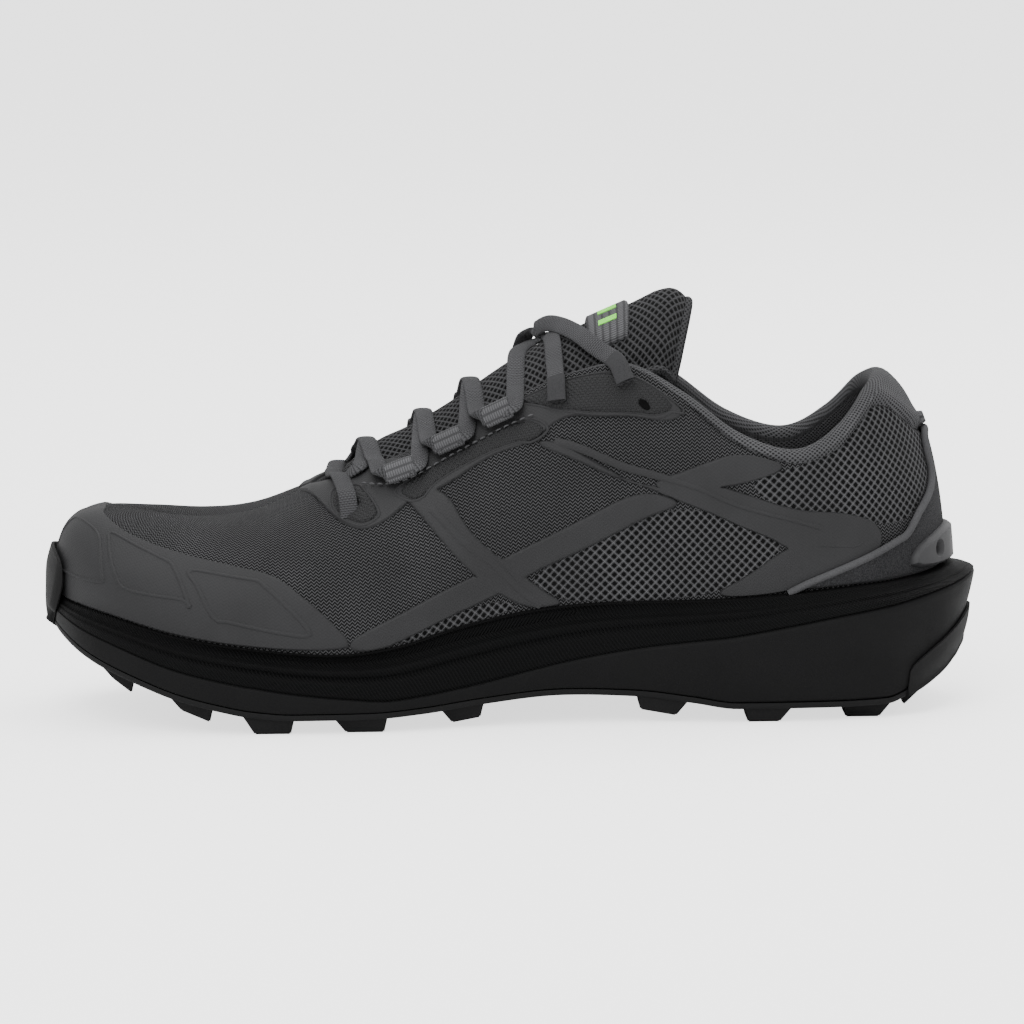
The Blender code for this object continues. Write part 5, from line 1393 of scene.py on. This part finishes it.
def half_width(x, side):
    """Half width of the plate at x on one side."""
    k = np.linspace(0, LAST, PLAIN)
    k = k if side < 0 else ROUND - k
    points = plate_point(k, np.zeros(len(k)), 0.0)
    return abs(points[np.argmin(np.abs(points[:, 0] - x)), 1])


def build_lug_row(row, x0, x1, rubber):
    """One row of lugs, joined in one piece: tapered blocks with bevelled edges and a notch."""
    medial = min(half_width(x0, -1), half_width(x1, -1)) - 0.001
    lateral = min(half_width(x0, 1), half_width(x1, 1)) - 0.001
    work = bmesh.new()
    for low, high in LUG_BANDS:
        y0 = low * (medial if low < 0 else lateral)
        y1 = high * (medial if high < 0 else lateral)
        notch = (x1 - x0) * 0.22
        if low <= -1 or high >= 1:
            outline = [(x0, y0), (x1, y0), (x1, y1), (x0, y1)]
        else:
            middle = (y0 + y1) / 2
            outline = [(x0, y0), (x0 + notch, middle), (x0, y1), (x1 - notch * 0.4, y1), (x1, middle),
                       (x1 - notch * 0.4, y0)]
        centre = np.mean(outline, 0)
        tops, feet = [], []
        for x, y in outline:
            foot = 0.0 if row in STANDING else max(float(under(x)) - LUG_DEPTH, 0.0)
            slope = np.sign(np.array([x, y]) - centre) * LUG_DRAFT
            if (slope[0] < 0) == (centre[0] < 0):
                slope[0] *= LUG_RAKE / LUG_DRAFT
            tops.append(work.verts.new(Vector((x + SHIFT[0], y + SHIFT[1], float(under(x)) + 0.0008))))
            feet.append(work.verts.new(Vector((x - slope[0] + SHIFT[0], y - slope[1] + SHIFT[1], foot))))
        work.faces.new(feet)
        work.faces.new(tops)
        for i in range(len(outline)):
            j = (i + 1) % len(outline)
            work.faces.new((feet[i], feet[j], tops[j], tops[i]))
    bmesh.ops.recalc_face_normals(work, faces=work.faces)
    bmesh.ops.bevel(work, geom=list(work.edges), offset=0.0004, segments=2, affect="EDGES",
                    clamp_overlap=True)
    mesh = bpy.data.meshes.new(f"lug_row_{row + 1}")
    work.to_mesh(mesh)
    work.free()
    dress(mesh.name, mesh, rubber, ["outsole"], 35)


def build_insole(context):
    """The sock liner on the footbed."""
    colours, sizes = context.scene.shoe_colours, context.scene.shoe_sizes
    k = np.linspace(0, ROUND, PLAIN)[:-1]
    inset = WALL + UNDERCUT * BALL_WIDTH + 2 * FIT
    ring = weave(BASES, k) - outward(k) * inset
    rows = []
    for pull, lift in ((0.0, 0.0), (0.0, INSOLE * 0.7), (0.0006, INSOLE * 0.93), (0.0016, INSOLE)):
        row = ring - outward(k) * pull
        row[:, 2] = footbed(k) + FIT + lift
        rows.append(row)
    rows = np.array(rows)
    faces = closed_rings(*rows.shape[:2])
    piece = add_piece("insole_cloth", rows, faces, lining_finish(sizes, colours), ["insole"],
                      maps=rows[..., :2])


def tongue_rows():
    """Outer points of the tongue, row by row from its root to its free end."""
    rows = []
    flank = np.array([0.82, 0.88, 0.94, 1.0])
    for s in np.linspace(TONGUE_START, TONGUE_END, 10):
        sides = []
        for k in (s, ROUND - s):
            kk = np.full(4, k)
            sides.append(skin_point(kk, flank, -wall(kk, flank) - 2 * FIT))
        medial, lateral = sides
        crest = (medial[-1] + lateral[-1]) / 2
        sink = TONGUE_SINK * (1 - ease((s - THROAT) / 0.9))
        crest[2] += TONGUE_ARCH * ease((s - THROAT) / 1.0) - sink
        crest[2] += (TONGUE_PEAK - TONGUE_ARCH) * ease((s - THROAT - 1.2) / 2.4)
        medial[:, 2] -= sink
        lateral[:, 2] -= sink
        half, other = (medial[-1] + crest) / 2, (lateral[-1] + crest) / 2
        half[2] = crest[2] - (crest[2] - medial[-1][2]) * 0.30
        other[2] = crest[2] - (crest[2] - lateral[-1][2]) * 0.30
        rows.append(np.vstack([medial, [half, crest, other], lateral[::-1]]))
    base = rows[-1]
    crest = base[len(base) // 2]
    for share, width in TONGUE_ROWS[1:]:
        move = np.array([TONGUE_FREE * share, 0, TONGUE_FREE * share * TONGUE_RISE])
        move[2] -= TONGUE_BOW * ease((share - 0.84) / 0.16)
        row = crest + (base - crest) * np.array([1, width, 1 + TONGUE_DROOP * share]) + move
        row[:, 0] += (row[:, 2] - row[:, 2].max()) * TONGUE_LEAN * share
        rows.append(row)
    return np.array(rows)


def smooth_grid(rows, count, across):
    """A grid of points made finer both ways with smooth curves."""
    finer = np.array([smooth_path(row, across) for row in rows])
    return np.array([smooth_path(finer[:, j], count) for j in range(across)]).transpose(1, 0, 2)


def grid_normals(grid):
    """Normals of a grid of points."""
    normal = np.cross(np.gradient(grid, axis=0), np.gradient(grid, axis=1))
    return normal / np.linalg.norm(normal, axis=2, keepdims=True)


def slab(name, grid, low, high, finish_used, nodes=(), turned=False):
    """A padded sheet over a grid: low and high lifts along its normals, closed at its edges."""
    normal = grid_normals(grid)
    rows, columns = grid.shape[:2]
    top = grid + normal * np.asarray(high)[..., None]
    foot = grid + normal * np.asarray(low)[..., None]
    points = np.vstack([top.reshape(-1, 3), foot.reshape(-1, 3)])
    count = rows * columns
    index = np.arange(count).reshape(rows, columns)
    faces = list(map(tuple, grid_faces(rows, columns)))
    faces += [tuple(reversed([i + count for i in face])) for face in faces]
    rim = np.concatenate([index[0, :-1], index[:-1, -1], index[-1, :0:-1], index[:0:-1, 0]])
    faces += [(a, b, b + count, a + count) for a, b in zip(rim, np.roll(rim, -1))]
    far_u, far_v = distances(grid[:, columns // 2]), distances(grid[rows // 2])
    u, v = np.broadcast_arrays(far_u[:, None], far_v[None])
    maps = np.stack([v, u] if turned else [u, v], -1).reshape(-1, 2)
    return add_piece(name, points, faces, finish_used, nodes, maps=np.vstack([maps, maps]), angle=60)


def build_tongue(context):
    """Padded mesh tongue with its bound edge, and the woven keeper on its crest."""
    colours, sizes = context.scene.shoe_colours, context.scene.shoe_sizes
    coarse = tongue_rows()
    rows, columns = 110, 65
    grid = smooth_grid(coarse, rows, columns)
    edge_v = np.minimum(np.arange(columns), np.arange(columns)[::-1]) / 5
    edge_u = np.minimum(np.arange(rows) + 3, np.arange(rows)[::-1]) / 5
    plump = np.sqrt(np.clip(np.minimum(edge_v[None], edge_u[:, None]), 0, 1) * 0.88 + 0.12)
    puff = 0.0006 * np.clip(np.minimum(edge_v[None], edge_u[:, None]) - 1, 0, 1)
    piece = slab("tongue_padded", grid, -TONGUE_PAD * plump, puff, tongue_finish(sizes, colours),
                 ["tongue"])
    start = int(rows * 0.66)
    rim = np.vstack([grid[start:, 0], grid[-1, 1:], grid[start:-1, -1][::-1]])
    normal = grid_normals(grid)
    rim_up = np.vstack([normal[start:, 0], normal[-1, 1:], normal[start:-1, -1][::-1]])
    centres = smooth_path(rim - rim_up * TONGUE_PAD * 0.2, 150)
    across = smooth_path(rim_up, 150)
    tube("tongue_binding", centres, across, 0.0040, 0.0034, lining_finish(sizes, colours),
         sides=14, power=0.9)
    free = coarse[-len(TONGUE_ROWS):]
    edges = free[1:3]
    middle = coarse.shape[1] // 2
    strips = []
    for share in np.linspace(0, 1, 3):
        row = edges[0] * (1 - share) + edges[1] * share
        strips.append([(row[middle - 2] + row[middle - 1]) / 2, row[middle - 1], row[middle],
                       row[middle + 1], (row[middle + 2] + row[middle + 1]) / 2])
    rows, columns = 40, 60
    patch = smooth_grid(np.array(strips), rows, columns)
    rise = np.minimum(np.minimum(np.arange(rows), np.arange(rows)[::-1])[:, None],
                      np.minimum(np.arange(columns), np.arange(columns)[::-1])[None]) / 2
    high = 0.0012 + KEEPER * np.sqrt(np.clip(rise, 0.1, 1))
    slab("keeper_woven", patch, np.full((rows, columns), 0.0002), high, webbing_finish(colours),
         ["lace_keeper"], turned=True)
    accent = plain_cloth_finish("accent", tuple(colours.accent))
    for number, (low, high) in enumerate(((14, 19), (24, 29))):
        bar = patch[12:30, low:high]
        low_lift, high_lift = (np.full(bar.shape[:2], lift) for lift in (0.0020, 0.0027))
        slab(f"keeper_bar_{number + 1}", bar, low_lift, high_lift, accent)


def loop_frame(index, side):
    """Middle of a lace loop, and its directions along the throat, across it and up."""
    station, v = LOOPS[index]
    k = station if side < 0 else ROUND - station
    step = 0.2 if side < 0 else -0.2
    run = shell(k + step, v) - shell(k - step, v)
    run = run / np.linalg.norm(run)
    up = shell_normal(k, v)
    across = np.cross(up, run)
    lift = FIT * 1.3 + FILM + FIT + LOOP_TALL / 2
    return skin_point(k, v, lift), run, across, up


def build_loops(context):
    """The ribbed webbing loops with the stitches under them."""
    colours = context.scene.shoe_colours
    webbing = webbing_finish(colours)
    thread = plain_cloth_finish("thread", tuple(value * 1.1 for value in colours.knit))
    sides = 48
    turn = np.linspace(0, math.tau, sides + 1)[:-1]
    wide, tall = np.cos(turn)[:, None], np.sin(turn)[:, None]
    around = turn / math.tau * LOOP_ROUND
    ends = np.linspace(-1, 1, 21)
    for side, word in ((-1, "medial"), (1, "lateral")):
        for index in range(len(LOOPS)):
            centre, run, across, up = loop_frame(index, side)
            rings, maps = [], []
            for end in ends:
                soften = 1 - 0.05 * max(0, abs(end) - 0.85) / 0.15
                spot = centre + run * end * LOOP_LONG / 2
                rings.append(spot + (across * wide * LOOP_WIDE / 2 + up * tall * LOOP_TALL / 2) * soften)
            for end in ends[::-1]:
                spot = centre + run * end * LOOP_LONG / 2 * 0.995
                inner_wide, inner_tall = LOOP_WIDE / 2 - WEBBING_THICK, LOOP_TALL / 2 - WEBBING_THICK
                rings.append(spot + (across * wide * inner_wide + up * tall * inner_tall))
            for end in (*ends, *ends[::-1]):
                maps.append(np.stack([np.full(sides, (end + 1) * LOOP_LONG / 2), around], -1))
            faces = list(map(tuple, grid_faces(len(rings), sides, wrap=True)))
            last = (len(rings) - 1) * sides
            faces += [(last + i, last + (i + 1) % sides, (i + 1) % sides, i) for i in range(sides)]
            add_piece(f"loop_{word}_{index + 1}", np.array(rings), faces, webbing,
                      [f"lace_loop_{word}_{index + 1}"], maps=np.array(maps), weld=0)
        line = smooth_path([(5.75, 0.78), (6.3, 0.71), (7.1, 0.76), (7.9, 0.79), (8.4, 0.80)], 80)
        k, v = (line[:, 0] if side < 0 else ROUND - line[:, 0]), line[:, 1]
        path = (skin_point(k, v, np.full(len(k), 0.0017)), shell_normal(k, v))
        stitches(f"loop_stitches_{word}", [path], 0.0017, 0.0011, 0.0006, thread)


def lay_strand(start, start_run, finish, finish_run, grounds, bow=0.0, through=(), count=60):
    """Centres and width directions of a stretch of lace between two loops, laid over the ground; grounds
    pairs each search tree with how far the lace presses into it."""
    reach = LOOP_LONG / 2 + 0.0012
    one, two = start + start_run * reach, finish - finish_run * reach
    middle = [one * 0.66 + two * 0.34, one * 0.34 + two * 0.66]
    if through:
        middle = [np.array(point) - SHIFT for point in through]
    route = smooth_path([start, one, *middle, two, finish], count)
    route[:, 0] -= bow * np.sin(np.linspace(0, math.pi, count)) ** 2
    flat = np.array([two[1] - one[1], one[0] - two[0], 0.0])
    flat /= np.linalg.norm(flat)
    run = np.gradient(route, axis=0)
    sides = np.stack([run[:, 1], -run[:, 0], np.zeros(count)], -1)
    sides /= np.maximum(np.linalg.norm(sides, axis=1, keepdims=True), 1e-9)
    inside = 5
    line = route[:, 2].copy()
    heights = line.copy()
    for i in range(inside, count - inside):
        found = []
        for side in (-0.42, 0.0, 0.42):
            probe = route[i] + sides[i] * BRAID_WIDE * side + SHIFT
            for tree, press in grounds:
                hit = tree.ray_cast(Vector((probe[0], probe[1], 0.2)), Vector((0, 0, -1)))
                if hit[0] is not None:
                    found.append(hit[0].z + BRAID_THICK * 0.5 - press)
        if found:
            heights[i] = max(*found, line[i])
    for _ in range(8):
        middle = (heights[:-2] + heights[2:]) / 2
        heights[1:-1] = np.maximum(heights[1:-1], middle)
    for _ in range(4):
        heights[2:-2] = (heights[1:-3] + heights[2:-2] * 2 + heights[3:-1]) / 4
    route[:, 2] = heights
    return route, sides if through else flat


def lay_widths(flat, start_across, finish_across, count):
    """Width directions that turn from the first loop's to the crossing's to the last loop's."""
    t = np.linspace(0, 1, count)
    first = ease(1 - t / 0.22)[:, None]
    last = ease((t - 0.78) / 0.22)[:, None]
    flat = np.broadcast_to(flat, (count, 3))
    start_across = start_across * np.sign(np.dot(start_across, flat[0]) or 1)
    finish_across = finish_across * np.sign(np.dot(finish_across, flat[-1]) or 1)
    return flat * (1 - first - last) + start_across * first + finish_across * last


def build_laces(context):
    """The bar over the throat's base and the crossings that run through the loops."""
    colours, sizes = context.scene.shoe_colours, context.scene.shoe_sizes
    lace = lace_finish(sizes, colours)
    names = ("tongue_padded upper_knit side_film_skin_medial side_film_skin_lateral"
             " pad_front_medial pad_front_lateral").split()
    shoe = (tree_of(*(bpy.data.objects[name] for name in names)), LACE_PRESS)
    k, v = EYELET
    lift = FILM + 0.0008 + LACE_THICK * 0.6
    ends = [skin_point(k, v, lift), skin_point(ROUND - k, v, lift)]
    runs = []
    for end, place in zip(ends, (k, ROUND - k)):
        up = shell(place, v + 0.05) - shell(place, v - 0.05)
        runs.append(up / np.linalg.norm(up))
    starts = [end - run * 0.004 for end, run in zip(ends, runs)]
    route, flat = lay_strand(starts[0], runs[0], starts[1], -runs[1], [shoe], BAR_BOW)
    sunk = np.zeros(len(route))
    sunk[:4] = sunk[-4:][::-1] = np.array([0.0045, 0.003, 0.0012, 0.0003])
    route[:, 2] -= sunk
    tube("lace_front_bar", route, np.broadcast_to(flat, route.shape), BRAID_WIDE, BRAID_THICK, lace,
         ["lace_bar"], sides=24, power=0.85)
    for index in range(len(LOOPS) + 1):
        laid = []
        for side in (-1, 1):
            if index == 0:
                first, share = FIRST_START
                place = first if side < 0 else ROUND - first
                centre = skin_point(place, share, lift * 0.2)
                start_run = skin_point(place + (0.3 if side < 0 else -0.3), share + 0.02, lift) - centre
                start_run /= np.linalg.norm(start_run)
                start_across = np.cross(shell_normal(place, share - 0.03), start_run)
            else:
                centre, start_run, start_across, _ = loop_frame(index - 1, side)
            if index < len(LOOPS):
                finish_at, finish_run, finish_across, _ = loop_frame(index, -side)
            else:
                end = smooth_path(LACE_ENDS["lace_end_a" if side < 0 else "lace_end_b"], 60) - SHIFT
                finish_at = end[0]
                finish_run = end[1] - end[0]
                finish_run = finish_run / np.linalg.norm(finish_run)
                finish_across = end_widths(end)[0]
            through = LAST_BEND if index == len(LOOPS) and side < 0 else ()
            grounds = [shoe] + [(tree_of(piece), CROSS_PRESS) for piece in laid]
            route, flat = lay_strand(centre, start_run, finish_at, finish_run, grounds, through=through)
            widths = lay_widths(flat, start_across, finish_across, len(route))
            word = "medial" if side < 0 else "lateral"
            laid.append(tube(f"lace_strand_{index + 1}_{word}", route, widths, BRAID_WIDE, BRAID_THICK, lace,
                             [f"lace_cross_{index + 1}"], sides=24, power=0.85))


def end_widths(centres):
    """Width directions of a free end, whose face turns with the slope that it lies on."""
    run = np.gradient(centres, axis=0)
    tilt = END_TILT[0] + END_TILT[1] * ease((0.006 - centres[:, 1]) / 0.030)
    face = np.stack([np.full(len(tilt), -0.35), -np.sin(tilt), np.cos(tilt)], -1)
    return np.cross(face, run)


def build_lace_ends(context):
    """The two free ends that hang over the last crossing, with their taped tips."""
    colours, sizes = context.scene.shoe_colours, context.scene.shoe_sizes
    lace = lace_finish(sizes, colours)
    tip = plain_cloth_finish("taped_tip", tuple(value * 0.55 for value in colours.lace))
    for name, route in LACE_ENDS.items():
        centres = smooth_path(route, 60)
        level = end_widths(centres)
        piece = tube(f"{name}_braid", centres, level, BRAID_WIDE, BRAID_THICK, lace, [name], sides=24,
                     power=0.85, shift=False)
        cap = tube(f"{name}_tip", centres[-14:], level[-14:], BRAID_WIDE * 1.04, BRAID_THICK * 1.15, tip,
                   sides=20, shift=False)


def build_stage(context):
    """Camera, floor, lights and world."""
    scene = context.scene
    camera = bpy.data.objects.new("camera", bpy.data.cameras.new("camera"))
    scene.collection.objects.link(camera)
    camera.data.lens = LENS
    camera.data.sensor_width = SENSOR
    yaw, dip = math.radians(YAW), math.radians(DIP)
    forward = Vector((math.sin(yaw) * math.cos(dip), math.cos(yaw) * math.cos(dip), -math.sin(dip)))
    camera.location = Vector(AIM) - forward * CAMERA_FAR
    turn = forward.to_track_quat("-Z", "Y").to_matrix().to_4x4()
    roll = Matrix.Rotation(math.radians(ROLL), 4, "Z")
    camera.matrix_world = Matrix.Translation(camera.location) @ turn @ roll
    camera.data.shift_x = SHIFT_PIXELS[0] / IMAGE_PIXELS
    camera.data.shift_y = SHIFT_PIXELS[1] / IMAGE_PIXELS
    camera.data.clip_start, camera.data.clip_end = 0.05, 20.0
    scene.camera = camera
    size = FLOOR_HALF
    mesh = bpy.data.meshes.new("floor")
    corners = [(-size, -size, 0), (size, -size, 0), (size, size, 0), (-size, size, 0)]
    mesh.from_pydata(corners, [], [(0, 1, 2, 3)])
    floor = bpy.data.objects.new("floor", mesh)
    scene.collection.objects.link(floor)
    paper = bpy.data.materials.new("floor")
    paper.use_nodes = True
    tree = paper.node_tree
    shader = tree.nodes["Principled BSDF"]
    shader.inputs["Base Color"].default_value = (0.93, 0.93, 0.93, 1)
    shader.inputs["Roughness"].default_value = 0.9
    shader.inputs["Emission Color"].default_value = (1, 1, 1, 1)
    seen = add_node(tree, "ShaderNodeLightPath").outputs["Is Camera Ray"]
    tree.links.new(calc(tree, "MULTIPLY", seen, FLOOR_GLOW), shader.inputs["Emission Strength"])
    mesh.materials.append(paper)
    world = bpy.data.worlds.new("soft light")
    world.use_nodes = True
    tree = world.node_tree
    background = tree.nodes["Background"]
    background.inputs[0].default_value = (1, 1, 1, 1)
    seen = add_node(tree, "ShaderNodeLightPath").outputs["Is Camera Ray"]
    strength = calc(tree, "MULTIPLY_ADD", seen, FLOOR_GLOW, WORLD_STRENGTH)
    tree.links.new(strength, background.inputs[1])
    scene.world = world
    for name, place, power, width in LAMPS:
        lamp = bpy.data.lights.new(name, "AREA")
        lamp.energy = power
        lamp.size = width
        thing = bpy.data.objects.new(name, lamp)
        scene.collection.objects.link(thing)
        spot = Vector(place)
        facing = (Vector(LAMP_AIM) - spot).to_track_quat("-Z", "Y").to_matrix().to_4x4()
        thing.matrix_world = Matrix.Translation(spot) @ facing


class SHOE_OT_stage(bpy.types.Operator):
    """Camera, floor, lights and world."""

    bl_idname = "shoe.stage"
    bl_label = "Stage"

    def execute(self, context):
        build_stage(context)
        return {"FINISHED"}


class SHOE_OT_lace_ends(bpy.types.Operator):
    """The two free ends that hang over the last crossing, with their taped tips."""

    bl_idname = "shoe.lace_ends"
    bl_label = "Lace ends"

    def execute(self, context):
        build_lace_ends(context)
        return {"FINISHED"}


class SHOE_OT_upper(bpy.types.Operator):
    """The knitted upper with its padded collar."""

    bl_idname = "shoe.upper"
    bl_label = "Upper"

    def execute(self, context):
        build_upper(context)
        return {"FINISHED"}


class SHOE_OT_films(bpy.types.Operator):
    """Toe film, side films, their raised lines, the pads, and near-black discs of painted shade under the
    pads' eyelet holes.
    """

    bl_idname = "shoe.films"
    bl_label = "Films and pads"

    def execute(self, context):
        build_films(context)
        return {"FINISHED"}


class SHOE_OT_heel(bpy.types.Operator):
    """Suede counter with its piping, the gaiter tab and the heel tab."""

    bl_idname = "shoe.heel"
    bl_label = "Heel counter and tabs"

    def execute(self, context):
        build_heel(context)
        return {"FINISHED"}


class SHOE_OT_midsole(bpy.types.Operator):
    """The foam midsole with its ledge, ridges, long groove and footbed."""

    bl_idname = "shoe.midsole"
    bl_label = "Midsole"

    def execute(self, context):
        build_midsole(context)
        return {"FINISHED"}


class SHOE_OT_outsole(bpy.types.Operator):
    """Rubber plate, toe bumper, heel wrap and the lugs."""

    bl_idname = "shoe.outsole"
    bl_label = "Outsole and lugs"

    def execute(self, context):
        build_outsole(context)
        return {"FINISHED"}


class SHOE_OT_insole(bpy.types.Operator):
    """The sock liner on the footbed."""

    bl_idname = "shoe.insole"
    bl_label = "Insole"

    def execute(self, context):
        build_insole(context)
        return {"FINISHED"}


class SHOE_OT_tongue(bpy.types.Operator):
    """Padded mesh tongue with its bound edge, and the woven keeper."""

    bl_idname = "shoe.tongue"
    bl_label = "Tongue and keeper"

    def execute(self, context):
        build_tongue(context)
        return {"FINISHED"}


class SHOE_OT_loops(bpy.types.Operator):
    """The ribbed webbing loops with the stitches under them."""

    bl_idname = "shoe.loops"
    bl_label = "Lace loops"

    def execute(self, context):
        build_loops(context)
        return {"FINISHED"}


class SHOE_OT_laces(bpy.types.Operator):
    """The bar over the throat's base and the crossings that run through the loops."""

    bl_idname = "shoe.laces"
    bl_label = "Laces"

    def execute(self, context):
        build_laces(context)
        return {"FINISHED"}


OPERATORS = (
    SHOE_OT_stage, SHOE_OT_lace_ends, SHOE_OT_upper, SHOE_OT_films, SHOE_OT_heel,
    SHOE_OT_midsole, SHOE_OT_outsole, SHOE_OT_insole, SHOE_OT_tongue,
    SHOE_OT_loops, SHOE_OT_laces,
)


class SHOE_PT_panel(bpy.types.Panel):
    """Lists the operators and the settings."""

    bl_label = "Trail running shoe"
    bl_idname = "SHOE_PT_panel"
    bl_space_type = "VIEW_3D"
    bl_region_type = "UI"
    bl_category = "Shoe"

    def draw(self, context):
        for operator in OPERATORS:
            self.layout.operator(operator.bl_idname)
        for holder in (context.scene.shoe_sizes, context.scene.shoe_colours):
            for name in holder.__annotations__:
                self.layout.prop(holder, name)


CLASSES = [ShoeSizes, ShoeColours, *OPERATORS, SHOE_PT_panel]


def register():
    """Register the classes and the settings."""
    for item in CLASSES:
        bpy.utils.register_class(item)
    bpy.types.Scene.shoe_sizes = PointerProperty(type=ShoeSizes)
    bpy.types.Scene.shoe_colours = PointerProperty(type=ShoeColours)


def unregister():
    """Take the classes and the settings away."""
    del bpy.types.Scene.shoe_sizes
    del bpy.types.Scene.shoe_colours
    for item in reversed(CLASSES):
        bpy.utils.unregister_class(item)


def main():
    """Build everything in order."""
    register()
    bpy.ops.shoe.stage()
    bpy.ops.shoe.lace_ends()
    bpy.ops.shoe.upper()
    bpy.ops.shoe.films()
    bpy.ops.shoe.heel()
    bpy.ops.shoe.midsole()
    bpy.ops.shoe.outsole()
    bpy.ops.shoe.insole()
    bpy.ops.shoe.tongue()
    bpy.ops.shoe.loops()
    bpy.ops.shoe.laces()


if __name__ == "__main__":
    main()
